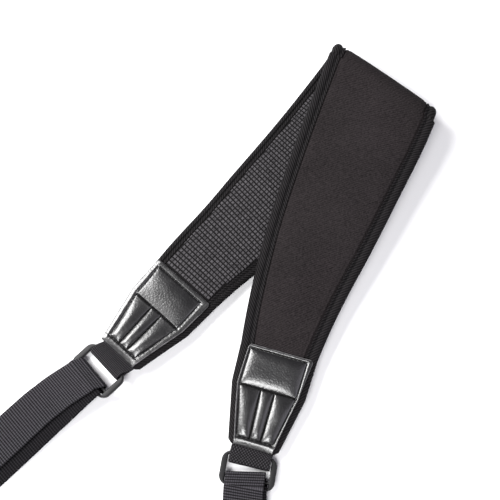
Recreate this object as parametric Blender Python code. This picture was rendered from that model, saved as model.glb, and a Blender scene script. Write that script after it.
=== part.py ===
"""A padded tripod shoulder strap, folded in half and lying on a flat surface.

The pad starts at its left end with the grip face up, runs to a bend, and comes back over
itself to its right end with the smooth face up.  Each end has a leather patch on both faces,
a short webbing tab, a slide buckle and a long webbing that ends in a plain clasp.

Sizes are in metres and +Z is up.
"""
import math
from collections import namedtuple

import bmesh
import bpy
from mathutils import Vector

# Clearances
FIT = 0.0003                  # between touching pieces
FLOOR_GAP = 0.0001

# Pad
PAD_WIDTH = 0.0785            # across the pad at the fold
PATCH_TOP_WIDTH = 0.0470      # across the pad where the leather starts
SHOULDER_WIDTH = 0.0450       # across the pad where its sides turn in
PAD_END_WIDTH = 0.0298
PAD_THICKNESS = 0.006
LOWER_LEG = 0.2455            # middle of the fold to the left end
UPPER_LEG = 0.2500            # middle of the fold to the right end
FOLD_INNER_RADIUS = 0.006
RIDGE_ANGLE = -37.0           # direction of the fold's ridge, in degrees from +X
RIGHT_SLOPE = 2.5             # degrees that the right end slopes down towards its tip
LEFT_RISE = 0.25              # last share of the way to the left patch, where the pad lifts
SETTLING = 0.33               # first share of the way to a patch, where sections turn square to it

# Binding and lining
BINDING_WALL = 0.0009
BINDING_FLANGE = 0.0075       # from the pad's edge to the tape's edge on the smooth face
GRIP_FLANGE = 0.0057          # and on the grip face
LINING_THICKNESS = 0.001

# Leather patch
PATCH_LENGTH = 0.0585         # from the pad's end to the leather's top edge
SHOULDER_DROP = 0.0238        # leather's top edge to the pad's shoulder
LEATHER = 0.001
PATCH_INSET = 0.0028          # leather's edge inside the pad's edge
SIDE_MARGIN = 0.0020          # leather's edge to its stitch line
TOP_MARGIN = 0.0023
END_MARGIN = 0.0048
PANEL_RISE = 0.0016
RIB_RISE = 0.0013
PANEL_GROOVE = 0.0245         # leather's top edge to the groove across it
RIB_SPLIT_TOP = 0.24          # middle rib's share of the ribs' width at the groove
RIB_SPLIT_END = 0.31          # and at the pad's end
PANEL_FULLNESS = 0.4          # powers of the domes: the smaller, the flatter on top
RIB_FULLNESS = 0.6
RIB_END_FULLNESS = 0.3

# Webbing and tab
WEBBING_WIDTH = 0.0232
TAB_WIDTH = 0.0248
WEBBING_THICKNESS = 0.0014
TAB_SEAT = 0.012              # length of the tab inside the patch
CORE_CLEARANCE = 0.002        # end of the tab to the foam and lining
MAIN_REACH = 0.130            # near bar of the buckle to the bar of the clasp
TAIL_REACH = 0.100            # near bar of the buckle to the tail's free end
HEM_LENGTH = 0.022            # webbing turned back round the clasp's bar
LANDING = 0.026               # from the buckle's far bar to where the webbing lies flat
LANDING_RADIUS = 0.012

# Slide buckle
SLOT_PLAY = 0.0010            # tab's width short of the slots' width
SIDE_BAR_WIDTH = 0.0035
BUCKLE_THICKNESS = 0.003
BUCKLE_CORNER = 0.0055
BAR_WIDTH = 0.0018
FOLD_ROOM = 0.0083            # near slot, beside the folds of the tab and of the webbing
FAR_SLOT_ROOM = 0.0010        # far slot, beside the one webbing through it
SLOT_CORNER = 0.0012
BAR_ROUND = 0.0008            # corner radius of a bar's section

# Clasp
CLASP_PLAY = 0.0038           # webbing's width short of the loop's inner width
CLASP_BAR = 0.0035
CLASP_LOOP_LENGTH = 0.013
CLASP_LOOP_CORNER = 0.004
CLASP_EYE_WIDTH = 0.021
CLASP_EYE_LENGTH = 0.030
CLASP_EYE_CORNER = 0.010
CLASP_THICKNESS = 0.003
CLASP_OVERLAP = 0.002         # how far the eye runs into the loop
CLASP_ROUND = 0.0011

# Roll of an end on its long side
MOUTH_ROLL = 0.45             # share of the buckle's roll that the pad's end has
ROLL_RELEASE = 0.075          # length of webbing past the buckle that turns flat again

# Sizes that follow
CORE_SETBACK = TAB_SEAT + CORE_CLEARANCE
SLOT_WIDTH = TAB_WIDTH + SLOT_PLAY
BUCKLE_WIDTH = SLOT_WIDTH + 2 * SIDE_BAR_WIDTH
SLOT_NEAR = FOLD_ROOM + 2 * (WEBBING_THICKNESS + FIT)
SLOT_FAR = FAR_SLOT_ROOM + WEBBING_THICKNESS
BUCKLE_LENGTH = 3 * BAR_WIDTH + SLOT_NEAR + SLOT_FAR
CLASP_WIDTH = WEBBING_WIDTH + CLASP_PLAY + 2 * CLASP_BAR

# How finely the round forms are cut
FOLD_STEPS = 6
LEG_STEPS = 14
PATCH_STEPS = 5
HALF_ROUND_STEPS = 4
CORNER_STEPS = 4
SECTION_STEPS = 2
PANEL_ROWS = 5
RIB_ROWS = 6
RIB_COLUMNS = (4, 3, 4)
CORE_ROWS = 3                 # extra sections of the pad under the panel
BEND_STEP = math.radians(30.0)
LONGEST_FACET = 0.010
PLAIN_CREASE = 40.0           # degrees between faces, over which an edge is drawn sharp
LEATHER_CREASE = 60.0
WALK_STEP = 0.0005            # step of the sum along the pad's line
PLACE_STEP = 0.005            # step of the sum along the webbing's line
LEAST_BEND = math.radians(0.5)
MOST_BEND = math.radians(342.0)
LEAST_SPACING = 0.001         # between a section and the end of its leg

# The way each leg runs, from the fold outwards: a share of its length and its direction there
Heading = namedtuple("Heading", "share degrees")
LOWER_HEADINGS = (Heading(0.06, 53.6), Heading(0.28, 47.0), Heading(0.53, 43.0), Heading(0.76, 48.4))
UPPER_HEADINGS = (Heading(0.06, 67.6), Heading(0.28, 66.6), Heading(0.53, 68.0), Heading(0.76, 74.2))

# The pad's narrowing: shares of the way from the fold to the patch, and of the width it loses
Taper = namedtuple("Taper", "share loss")
LOWER_TAPERS = (Taper(0.0, 0.0), Taper(0.21, 0.08), Taper(0.42, 0.26), Taper(0.61, 0.50), Taper(0.79, 0.80),
                Taper(1.0, 1.0))
UPPER_TAPERS = (Taper(0.0, 0.0), Taper(0.21, 0.07), Taper(0.42, 0.23), Taper(0.61, 0.42), Taper(0.79, 0.69),
                Taper(1.0, 1.0))

# What differs between the two ends.  The gap runs from the pad's end to the buckle.  The tab,
# buckle and webbing columns are directions.  A slack is the looseness of a fold on its bar, and a
# skew the angle between the two.  Fold, crossing, main, under and tail are sideways shifts of the
# webbing: of its fold, of the upper layer over the far bar and past the buckle, of the lower layer
# in the buckle, and of the tail.
# The patch column is the leather's sideways shift, and roll the angle by which the buckle's outer
# side is lifted.
End = namedtuple("End", "name side gap tab buckle webbing tab_slack tab_skew slack skew fold crossing main under "
                        "tail patch roll")
LEFT_END = End("left", -1, 0.0059, 28.0, 43.5, 43.2, 0.0021, 1.0, 0.0006, -1.5,
               -0.0008, -0.0031, -0.0093, 0.0008, -0.0012, -0.0014, 10.0)
RIGHT_END = End("right", 1, 0.0030, 75.0, 80.0, 90.0, 0.0039, -3.0, 0.0016, 8.0,
                -0.0010, -0.0010, 0.0014, 0.0009, 0.0047, 0.0, 0.0)

Finish = namedtuple("Finish", "colour roughness metallic")
SMOOTH_CLOTH = Finish((0.040, 0.036, 0.037), 0.85, 0.0)
GRIP_CLOTH = Finish((0.058, 0.056, 0.058), 0.75, 0.0)
TAPE = Finish((0.030, 0.028, 0.029), 0.80, 0.0)
BLACK_LEATHER = Finish((0.020, 0.020, 0.021), 0.30, 0.0)
WEBBING = Finish((0.050, 0.049, 0.053), 0.70, 0.0)
PLASTIC = Finish((0.075, 0.075, 0.080), 0.45, 0.0)

Turn = namedtuple("Turn", "reach height radius sense skew shift")
Spot = namedtuple("Spot", "centre across")
UP = Vector((0.0, 0.0, 1.0))


# Small helpers

def plan(degrees):
    """Unit vector in the floor's plane at an angle from +X."""
    angle = math.radians(degrees)
    return Vector((math.cos(angle), math.sin(angle), 0.0))


def eased(share):
    """Smooth step from 0 to 1."""
    share = min(max(share, 0.0), 1.0)
    return share * share * (3.0 - 2.0 * share)


def along_table(rows, share):
    """Second column of a table at a share of its first, on a smooth curve through its rows."""
    share = min(max(share, rows[0][0]), rows[-1][0])
    last = len(rows) - 2
    row = min(last, max(0, sum(1 for r in rows if r[0] < share) - 1))
    slopes = []
    for index in (row, row + 1):
        before = rows[max(index - 1, 0)]
        after = rows[min(index + 1, len(rows) - 1)]
        slopes.append((after[1] - before[1]) / (after[0] - before[0]))
    span = rows[row + 1][0] - rows[row][0]
    t = (share - rows[row][0]) / span
    start = (2 * t ** 3 - 3 * t ** 2 + 1) * rows[row][1] + (t ** 3 - 2 * t ** 2 + t) * span * slopes[0]
    finish = (3 * t ** 2 - 2 * t ** 3) * rows[row + 1][1] + (t ** 3 - t ** 2) * span * slopes[1]
    return start + finish


def make_material(name, finish):
    """Principled material of a finish."""
    material = bpy.data.materials.new(name)
    material.use_nodes = True
    shader = material.node_tree.nodes["Principled BSDF"]
    shader.inputs["Base Color"].default_value = (*finish.colour, 1.0)
    shader.inputs["Roughness"].default_value = finish.roughness
    shader.inputs["Metallic"].default_value = finish.metallic
    return material


def add_object(name, mesh_data, finish, sharp_degrees=PLAIN_CREASE):
    """Closes a bmesh into an object with its own material and smooth shading."""
    bmesh.ops.recalc_face_normals(mesh_data, faces=mesh_data.faces)
    mesh = bpy.data.meshes.new(name)
    mesh_data.to_mesh(mesh)
    mesh_data.free()
    mesh.shade_smooth()
    mesh.set_sharp_from_angle(angle=math.radians(sharp_degrees))
    thing = bpy.data.objects.new(name, mesh)
    thing.data.materials.append(make_material(name, finish))
    bpy.context.scene.collection.objects.link(thing)
    return thing


def bridge_rings(mesh_data, rings, closed=False):
    """Joins equal rings of points with quads, and caps the two ends unless the row is closed."""
    rows = [[mesh_data.verts.new(point) for point in ring] for ring in rings]
    pairs = list(zip(rows, rows[1:]))
    if closed:
        pairs.append((rows[-1], rows[0]))
    for first, second in pairs:
        for index in range(len(first)):
            after = (index + 1) % len(first)
            mesh_data.faces.new((first[index], first[after], second[after], second[index]))
    if not closed:
        mesh_data.faces.new(rows[0])
        mesh_data.faces.new(rows[-1])


def rounded_rectangle(half_width, half_height, radius, steps):
    """Corner points of a rectangle with round corners, anticlockwise."""
    points = []
    for corner, (sx, sy) in enumerate(((1, 1), (-1, 1), (-1, -1), (1, -1))):
        for step in range(steps + 1):
            angle = math.pi / 2 * (corner + step / steps)
            x = sx * (half_width - radius) + radius * math.cos(angle)
            y = sy * (half_height - radius) + radius * math.sin(angle)
            points.append((x, y))
    return points


def half_round(centre, radius):
    """Points of a half circle on its right side, from straight up to straight down."""
    angles = [math.pi / 2 - math.pi * step / HALF_ROUND_STEPS for step in range(HALF_ROUND_STEPS + 1)]
    return [(centre + radius * math.cos(a), radius * math.sin(a)) for a in angles]


# The pad's centre line

class Station:
    """Frame of the pad's section at one distance from the middle of the fold."""

    def __init__(self, leg, centre, along, across, half_width):
        out = along.cross(across)
        self.leg = leg
        self.centre = centre
        self.along = along
        self.across = across
        self.out = out.normalized()
        self.stretch = 1.0 / out.length
        self.half_width = half_width

    def point(self, aside, outwards):
        """Point of the section, on the rolled pad."""
        return self.leg.rolled(self.centre + self.across * aside + self.out * outwards)


class Leg:
    """One half of the pad, from the middle of the fold out to its end."""

    def __init__(self, side, length, headings, tapers):
        self.side = side
        self.length = length
        self.headings = headings
        self.tapers = tapers
        self.patch_start = length - PATCH_LENGTH
        self.radius = FOLD_INNER_RADIUS + PAD_THICKNESS / 2
        self.quarter = self.radius * math.pi / 2
        self.end_height = PAD_THICKNESS / 2 + FIT + LEATHER + PANEL_RISE
        self.points = self.walk()
        self.strap_end = None

    def heading(self, distance):
        """Direction of the leg in degrees; it is straight along the patch."""
        return along_table(self.headings, min(distance, self.patch_start) / self.length)

    def height(self, distance):
        """Height of the pad's middle layer above the floor, past the fold."""
        if self.side < 0:
            rise = eased((distance / self.patch_start - 1.0 + LEFT_RISE) / LEFT_RISE)
            return PAD_THICKNESS / 2 + rise * (self.end_height - PAD_THICKNESS / 2)
        top = PAD_THICKNESS / 2 + 2 * self.radius
        patch_height = self.end_height + PATCH_LENGTH * math.tan(math.radians(RIGHT_SLOPE))
        if distance > self.patch_start:
            share = (distance - self.patch_start) / PATCH_LENGTH
            return patch_height + share * (self.end_height - patch_height)
        share = (distance - self.quarter) / (self.patch_start - self.quarter)
        return top + share * (patch_height - top)

    def walk(self):
        """Points of the centre line, a step apart, starting at the middle of the fold."""
        ridge = plan(RIDGE_ANGLE)
        away = plan(RIDGE_ANGLE + 90.0)
        drift = abs(math.tan(math.radians(self.heading(0.0) - RIDGE_ANGLE - 90.0))) * self.side
        points = []
        here = Vector((0.0, 0.0, 0.0))
        count = int(round(self.length / WALK_STEP))
        for index in range(count + 1):
            distance = self.length * index / count
            if distance <= self.quarter:
                angle = distance / self.radius
                here = ridge * drift * distance - away * self.radius * (1 - math.cos(angle))
                here.z = PAD_THICKNESS / 2 + self.radius * (1 + self.side * math.sin(angle))
            else:
                here = here - plan(self.heading(distance)) * (self.length / count)
                here.z = self.height(distance)
            points.append(here.copy())
        return points

    def half_width(self, distance):
        """Half of the pad's width."""
        if distance <= self.patch_start:
            loss = along_table(self.tapers, distance / self.patch_start)
            return (PAD_WIDTH + loss * (PATCH_TOP_WIDTH - PAD_WIDTH)) / 2
        down = distance - self.patch_start
        if down <= SHOULDER_DROP:
            share = down / SHOULDER_DROP
            return (PATCH_TOP_WIDTH + share * (SHOULDER_WIDTH - PATCH_TOP_WIDTH)) / 2
        share = (down - SHOULDER_DROP) / (PATCH_LENGTH - SHOULDER_DROP)
        return (SHOULDER_WIDTH + share * (PAD_END_WIDTH - SHOULDER_WIDTH)) / 2

    def station(self, distance):
        """Frame of the pad's section at a distance from the middle of the fold."""
        last = len(self.points) - 1
        place = min(distance / self.length, 1.0) * last
        index = min(int(place), last - 1)
        centre = self.points[index].lerp(self.points[index + 1], place - index)
        before = self.points[max(index - 1, 0)]
        after = self.points[min(index + 2, last)]
        along = (after - before).normalized() * self.side
        if distance < self.quarter:
            angle = distance / self.radius * self.side
            along = (UP * math.cos(angle) - plan(RIDGE_ANGLE + 90.0) * math.sin(angle)).normalized()
        settled = eased((distance - self.quarter) / (self.patch_start * SETTLING))
        square = self.heading(distance) - 90.0
        across = plan(RIDGE_ANGLE + settled * (square - RIDGE_ANGLE))
        return Station(self, centre, along, across, self.half_width(distance))

    def rolled(self, point):
        """The point after the roll of this leg's end."""
        return self.strap_end.rolled(point)


def leg_distances(leg, end):
    """Distances of the sections of one leg, from the fold to a given end."""
    fold = [leg.quarter * step / FOLD_STEPS for step in range(FOLD_STEPS + 1)]
    body = [leg.quarter + (leg.patch_start - leg.quarter) * step / LEG_STEPS for step in range(1, LEG_STEPS + 1)]
    shoulder = leg.patch_start + SHOULDER_DROP
    patch = [leg.patch_start + SHOULDER_DROP * row / (CORE_ROWS + 1) for row in range(1, CORE_ROWS + 1)]
    patch += [shoulder + (leg.length - shoulder) * step / PATCH_STEPS for step in range(PATCH_STEPS)]
    return [d for d in fold + body + patch if d < end - LEAST_SPACING] + [end]


def pad_stations(lower, upper, setback):
    """Stations from the left end to the right end, both short of the pad's ends by a setback."""
    first = [lower.station(d) for d in reversed(leg_distances(lower, lower.length - setback))]
    second = [upper.station(d) for d in leg_distances(upper, upper.length - setback)]
    return first + second[1:]


def sweep(name, stations, profile, finish):
    """Solid whose section at each station is the profile's ring of (across, out) pairs."""
    mesh_data = bmesh.new()
    rings = []
    for station in stations:
        rings.append([station.point(v * station.stretch, n) for v, n in profile(station.half_width)])
    bridge_rings(mesh_data, rings)
    return add_object(name, mesh_data, finish)


# Sections of the pad

def foam_profile(half_width):
    """Foam: full height between the tapes, thinner and round-ended inside them."""
    half = PAD_THICKNESS / 2
    tuck = half - BINDING_WALL - FIT
    under = half - LINING_THICKNESS - FIT
    step = half_width - BINDING_FLANGE - FIT
    grip_step = half_width - GRIP_FLANGE - FIT
    right = [(step, half), (step, tuck)] + half_round(half_width - half, tuck)
    right += [(grip_step, -tuck), (grip_step, -under)]
    left = [(-v, n) for v, n in reversed(right)]
    return right + left


def lining_profile(half_width):
    """Grip lining: a sheet between the two tapes."""
    half = PAD_THICKNESS / 2
    reach = half_width - GRIP_FLANGE - FIT
    top = -(half - LINING_THICKNESS)
    return [(reach, top), (reach, -half), (-reach, -half), (-reach, top)]


def binding_profile(side):
    """Tape folded round one edge, open towards the pad's middle."""
    outer = PAD_THICKNESS / 2
    inner = outer - BINDING_WALL

    def ring(half_width):
        centre = half_width - outer
        tip = half_width - BINDING_FLANGE
        grip_tip = half_width - GRIP_FLANGE
        points = [(tip, outer)] + half_round(centre, outer) + [(grip_tip, -outer), (grip_tip, -inner)]
        points += list(reversed(half_round(centre, inner))) + [(tip, inner)]
        return [(side * v, n) for v, n in points]

    return ring


# Leather patches

def patch_columns(down):
    """Places of the leather's columns across the patch, with each one's share of its rib."""
    past_groove = max(0.0, min(1.0, (down - PANEL_GROOVE) / (PATCH_LENGTH - PANEL_GROOVE)))
    middle = RIB_SPLIT_TOP + past_groove * (RIB_SPLIT_END - RIB_SPLIT_TOP)
    seams = (-1.0, -middle, middle, 1.0)
    columns = []
    for rib, steps in enumerate(RIB_COLUMNS):
        for step in range(steps):
            share = step / steps
            columns.append((seams[rib] + share * (seams[rib + 1] - seams[rib]), share))
    return columns + [(1.0, 1.0)]


def dome(share, fullness):
    """Height of a stuffed channel across its width, from 0 at its seams to 1."""
    return (4.0 * share * (1.0 - share)) ** fullness


def patch_rises(down, columns):
    """Rise of the leather over its stitched margin at each column."""
    ribs_end = PATCH_LENGTH - END_MARGIN
    if not TOP_MARGIN <= down <= ribs_end:
        return [0.0] * len(columns)
    if down < PANEL_GROOVE:
        length = dome((down - TOP_MARGIN) / (PANEL_GROOVE - TOP_MARGIN), PANEL_FULLNESS)
        return [PANEL_RISE * length * dome((place + 1.0) / 2, PANEL_FULLNESS) for place, _ in columns]
    length = dome((down - PANEL_GROOVE) / (ribs_end - PANEL_GROOVE), RIB_END_FULLNESS)
    return [RIB_RISE * length * dome(share, RIB_FULLNESS) for _, share in columns]


def leather_patch(name, leg, face, shift):
    """Leather on one face of one end: a puffed panel, a groove and three ribs in a flat margin."""
    ribs_end = PATCH_LENGTH - END_MARGIN
    panel = [TOP_MARGIN + (PANEL_GROOVE - TOP_MARGIN) * row / PANEL_ROWS for row in range(PANEL_ROWS + 1)]
    ribs = [PANEL_GROOVE + (ribs_end - PANEL_GROOVE) * row / RIB_ROWS for row in range(1, RIB_ROWS + 1)]
    base = PAD_THICKNESS / 2 + FIT
    mesh_data = bmesh.new()
    top = []
    floor = []
    for down in sorted([0.0] + panel + ribs + [SHOULDER_DROP, PATCH_LENGTH]):
        station = leg.station(leg.patch_start + down)
        edge = station.half_width - PATCH_INSET
        columns = patch_columns(down)
        places = [-edge] + [place * (edge - SIDE_MARGIN) for place, _ in columns] + [edge]
        rises = [0.0] + patch_rises(down, columns) + [0.0]
        top.append([mesh_data.verts.new(station.point(place + shift, face * (base + LEATHER + rise)))
                    for place, rise in zip(places, rises)])
        floor.append([mesh_data.verts.new(station.point(place + shift, face * base)) for place in (-edge, edge)])
    for first, second in zip(top, top[1:]):
        for index in range(len(first) - 1):
            mesh_data.faces.new((first[index], first[index + 1], second[index + 1], second[index]))
    for first, second, low, next_low in zip(top, top[1:], floor, floor[1:]):
        mesh_data.faces.new((first[0], second[0], next_low[0], low[0]))
        mesh_data.faces.new((first[-1], low[1], next_low[1], second[-1]))
        mesh_data.faces.new((low[0], next_low[0], next_low[1], low[1]))
    mesh_data.faces.new(top[0] + [floor[0][1], floor[0][0]])
    mesh_data.faces.new(top[-1] + [floor[-1][1], floor[-1][0]])
    return add_object(name, mesh_data, BLACK_LEATHER, LEATHER_CREASE)


# Lines laced round bars

def belt(turns):
    """Points of a taut line that passes each turn, as (reach, height, skew, shift).

    A turn's sense is 1 where the line bends left round it and -1 where it bends right.
    """
    directions = []
    for one, two in zip(turns, turns[1:]):
        gap = (two.reach - one.reach, two.height - one.height)
        offset = (two.sense * two.radius - one.sense * one.radius) / math.hypot(*gap)
        directions.append(math.atan2(gap[1], gap[0]) - math.asin(offset))
    points = []
    for index, turn in enumerate(turns):
        start = directions[max(index - 1, 0)]
        finish = directions[min(index, len(directions) - 1)]
        angle = (finish - start) * turn.sense % (2 * math.pi)
        if turn.radius == 0.0 or angle > MOST_BEND:
            angle = 0.0
        steps = max(1, math.ceil(angle / BEND_STEP)) if angle > LEAST_BEND else 0
        for step in range(steps + 1):
            a = start + turn.sense * angle * (step / steps if steps else 0.0)
            reach = turn.reach + turn.sense * turn.radius * math.sin(a)
            height = turn.height - turn.sense * turn.radius * math.cos(a)
            points.append((reach, height, turn.skew, turn.shift))
    return points


def filled(points):
    """The same line with extra points in its long straight stretches."""
    result = [points[0]]
    for one, two in zip(points, points[1:]):
        pieces = max(1, math.ceil(math.hypot(two[0] - one[0], two[1] - one[1]) / LONGEST_FACET))
        for piece in range(1, pieces + 1):
            share = piece / pieces
            result.append(tuple(a + share * (b - a) for a, b in zip(one, two)))
    return result


class StrapEnd:
    """The tab, buckle, webbing and clasp that hang on one end of the pad."""

    def __init__(self, end, leg):
        self.end = end
        self.leg = leg
        self.seat = leg.station(leg.length)
        self.bar_height = WEBBING_THICKNESS + FIT + BUCKLE_THICKNESS / 2 + FIT
        self.lap = FIT + WEBBING_THICKNESS / 2
        self.near_bar = end.gap + BAR_WIDTH / 2
        self.middle_bar = BAR_WIDTH + SLOT_NEAR
        self.far_bar = self.middle_bar + BAR_WIDTH + SLOT_FAR
        self.mouth = Vector((self.seat.centre.x, self.seat.centre.y, 0.0))
        self.origin = self.mouth - plan(end.tab) * self.near_bar
        self.bar_across = plan(end.buckle - 90.0)
        leg.strap_end = self

    def roll_angle(self, reach):
        """Roll in radians at a reach from the buckle's near bar: the buckle itself is rigid."""
        top = -self.near_bar - PATCH_LENGTH
        before = MOUTH_ROLL * eased((reach - top) / PATCH_LENGTH)
        before += (1.0 - MOUTH_ROLL) * eased((reach + self.near_bar) / self.end.gap)
        after = eased((reach - self.far_bar - BAR_WIDTH) / ROLL_RELEASE)
        return math.radians(self.end.roll) * (before - after)

    def rolled(self, point):
        """The point after this end has been rolled on its long side, and lifted to clear the floor."""
        heading = plan(self.end.buckle)
        angle = self.roll_angle(-(point - self.origin).dot(heading))
        aside = (point - self.origin).dot(self.bar_across)
        height = point.z
        turned = self.bar_across * math.cos(angle) + UP * math.sin(angle)
        raised = UP * math.cos(angle) - self.bar_across * math.sin(angle)
        flat = point - self.bar_across * aside - UP * height
        return flat + turned * aside + raised * height + UP * math.sin(abs(angle)) * TAB_WIDTH / 2

    def corner(self, bar, side, level, sense, skew, slack=0.0, layer=0.0, shift=0.0):
        """Turn round one corner of a bar's section: side is -1 near and 1 far, level -1 or 1."""
        inset = BAR_WIDTH / 2 - BAR_ROUND
        rise = BUCKLE_THICKNESS / 2 - BAR_ROUND
        radius = BAR_ROUND + self.lap + layer
        return Turn(bar + side * (inset + slack), self.bar_height + level * rise, radius, sense, skew, shift)

    def tab_spots(self):
        """The tab's line: out of the patch, round the near bar, and back."""
        end = self.end
        apart = WEBBING_THICKNESS / 2 + FIT / 2
        slope = math.tan(math.radians(RIGHT_SLOPE)) if end.side > 0 else 0.0
        middle = self.leg.end_height
        deep = middle + TAB_SEAT * slope
        bar = self.near_bar
        turns = [Turn(-TAB_SEAT, deep + apart, 0.0, -1, 0.0, 0.0),
                 Turn(0.0, middle + apart, 0.0, -1, 0.0, 0.0),
                 self.corner(bar, -1, 1, -1, 0.0),
                 self.corner(bar, 1, 1, -1, end.tab_skew, end.tab_slack),
                 self.corner(bar, 1, -1, -1, end.tab_skew, end.tab_slack),
                 self.corner(bar, -1, -1, -1, 0.0),
                 Turn(0.0, middle - apart, 0.0, -1, 0.0, 0.0),
                 Turn(-TAB_SEAT, deep - apart, 0.0, -1, 0.0, 0.0)]
        inwards = self.seat.along * end.side
        inwards = Vector((inwards.x, inwards.y, 0.0)).normalized()
        spots = []
        for reach, rise, skew, _ in belt(turns):
            if reach <= 0.0:
                spots.append(Spot(self.mouth + inwards * reach + UP * rise, self.seat.across))
            else:
                place = self.mouth - plan(end.tab) * min(reach, bar) - plan(end.buckle) * max(reach - bar, 0.0)
                spots.append(Spot(place + UP * rise, plan(end.buckle - 90.0 + skew)))
        return spots

    def webbing_turns(self):
        """The long webbing: from its free end round the middle bar and out to the clasp."""
        end = self.end
        thick = WEBBING_THICKNESS
        tail_height = thick / 2 + FLOOR_GAP
        main_height = tail_height + thick + FIT
        lift = thick + FIT
        landing = self.far_bar + LANDING
        rise = CLASP_THICKNESS / 2 - CLASP_ROUND
        radius = CLASP_ROUND + self.lap
        inset = CLASP_BAR / 2 - CLASP_ROUND
        height = thick + FLOOR_GAP + FIT + CLASP_THICKNESS / 2
        middle = self.middle_bar
        far = self.far_bar
        return [Turn(TAIL_REACH, tail_height, 0.0, 1, 0.0, end.tail),
                Turn(landing, tail_height + LANDING_RADIUS, LANDING_RADIUS, -1, 0.0, end.tail),
                self.corner(far, 1, 1, 1, 0.0, shift=end.under),
                self.corner(far, -1, 1, 1, 0.0, shift=end.under),
                self.corner(middle, 1, -1, -1, 0.0, shift=end.under),
                self.corner(middle, -1, -1, -1, end.skew, end.slack, shift=end.fold),
                self.corner(middle, -1, 1, -1, end.skew, end.slack, shift=end.fold),
                self.corner(far, -1, 1, -1, end.skew, layer=lift, shift=end.crossing),
                self.corner(far, 1, 1, -1, 0.0, layer=lift, shift=end.crossing),
                Turn(landing, main_height + LANDING_RADIUS, LANDING_RADIUS, 1, 0.0, end.main),
                Turn(MAIN_REACH - HEM_LENGTH, main_height, 0.0, 1, 0.0, end.main),
                Turn(MAIN_REACH - inset, height + rise, radius, -1, 0.0, end.main),
                Turn(MAIN_REACH + inset, height + rise, radius, -1, 0.0, end.main),
                Turn(MAIN_REACH + inset, height - rise, radius, -1, 0.0, end.main),
                Turn(MAIN_REACH - HEM_LENGTH, tail_height, 0.0, -1, 0.0, end.main)]

    def webbing_heading(self, reach):
        """Direction of the webbing in the floor's plane; it turns just past the buckle."""
        settled = eased((reach - self.far_bar) / LANDING)
        return self.end.buckle + settled * (self.end.webbing - self.end.buckle)

    def place(self, reach):
        """Point of the webbing's plan line at a reach from the near bar."""
        steps = max(1, math.ceil(reach / PLACE_STEP))
        here = self.origin.copy()
        for step in range(steps):
            here = here - plan(self.webbing_heading(reach * (step + 0.5) / steps)) * (reach / steps)
        return here

    def webbing_spots(self):
        """The long webbing's line in space."""
        spots = []
        for reach, rise, skew, shift in filled(belt(self.webbing_turns())):
            across = plan(self.webbing_heading(reach) - 90.0 + skew)
            sideways = plan(self.webbing_heading(reach) - 90.0) * shift
            spots.append(Spot(self.place(reach) + sideways + UP * rise, across))
        return spots

    def ribbon(self, name, spots, width):
        """Flat webbing through spots that give its middle and its direction across."""
        half = WEBBING_THICKNESS / 2
        mesh_data = bmesh.new()
        rings = []
        for index, spot in enumerate(spots):
            before = spots[max(index - 1, 0)].centre
            after = spots[min(index + 1, len(spots) - 1)].centre
            out = (after - before).normalized().cross(spot.across).normalized()
            widen = 1.0
            if 0 < index < len(spots) - 1:
                turn = (spot.centre - before).angle(after - spot.centre)
                widen = 1.0 / math.cos(turn / 2)
            rise = out * half * widen
            side = spot.across * width / 2
            corners = (rise - side, rise + side, side - rise, -side - rise)
            rings.append([self.rolled(spot.centre + corner) for corner in corners])
        bridge_rings(mesh_data, rings)
        return add_object(name, mesh_data, WEBBING)

    def build(self):
        """Makes the pieces of this end."""
        name = self.end.name
        leather_patch("leather_patch_outer_" + name, self.leg, 1, self.end.patch)
        leather_patch("leather_patch_inner_" + name, self.leg, -1, self.end.patch)
        self.ribbon("webbing_tab_" + name, self.tab_spots(), TAB_WIDTH)
        slide_buckle("slide_buckle_" + name, self)
        self.ribbon("long_webbing_" + name, self.webbing_spots(), WEBBING_WIDTH)
        plain_clasp("clasp_" + name, self)


# Hard pieces

def frame_ring(mesh_data, outer, inner, thickness, rounding, place):
    """Closed frame between two outlines that have equal numbers of points."""
    rings = []
    for out_point, in_point in zip(outer, inner):
        gap = Vector(out_point) - Vector(in_point)
        centre = (Vector(out_point) + Vector(in_point)) / 2
        direction = gap.normalized()
        ring = []
        for x, z in rounded_rectangle(gap.length / 2, thickness / 2, rounding, SECTION_STEPS):
            ring.append(place(centre.x + direction.x * x, centre.y + direction.y * x, z))
        rings.append(ring)
    bridge_rings(mesh_data, rings, closed=True)


def shifted(points, offset):
    """Outline moved along its second axis."""
    return [(x, y + offset) for x, y in points]


def join_solids(keep, extra):
    """Boolean union of two solids; the second stays as a hidden helper."""
    modifier = keep.modifiers.new("joined", "BOOLEAN")
    modifier.operation = "UNION"
    modifier.object = extra
    extra.hide_render = True
    extra.display_type = "WIRE"


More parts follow.
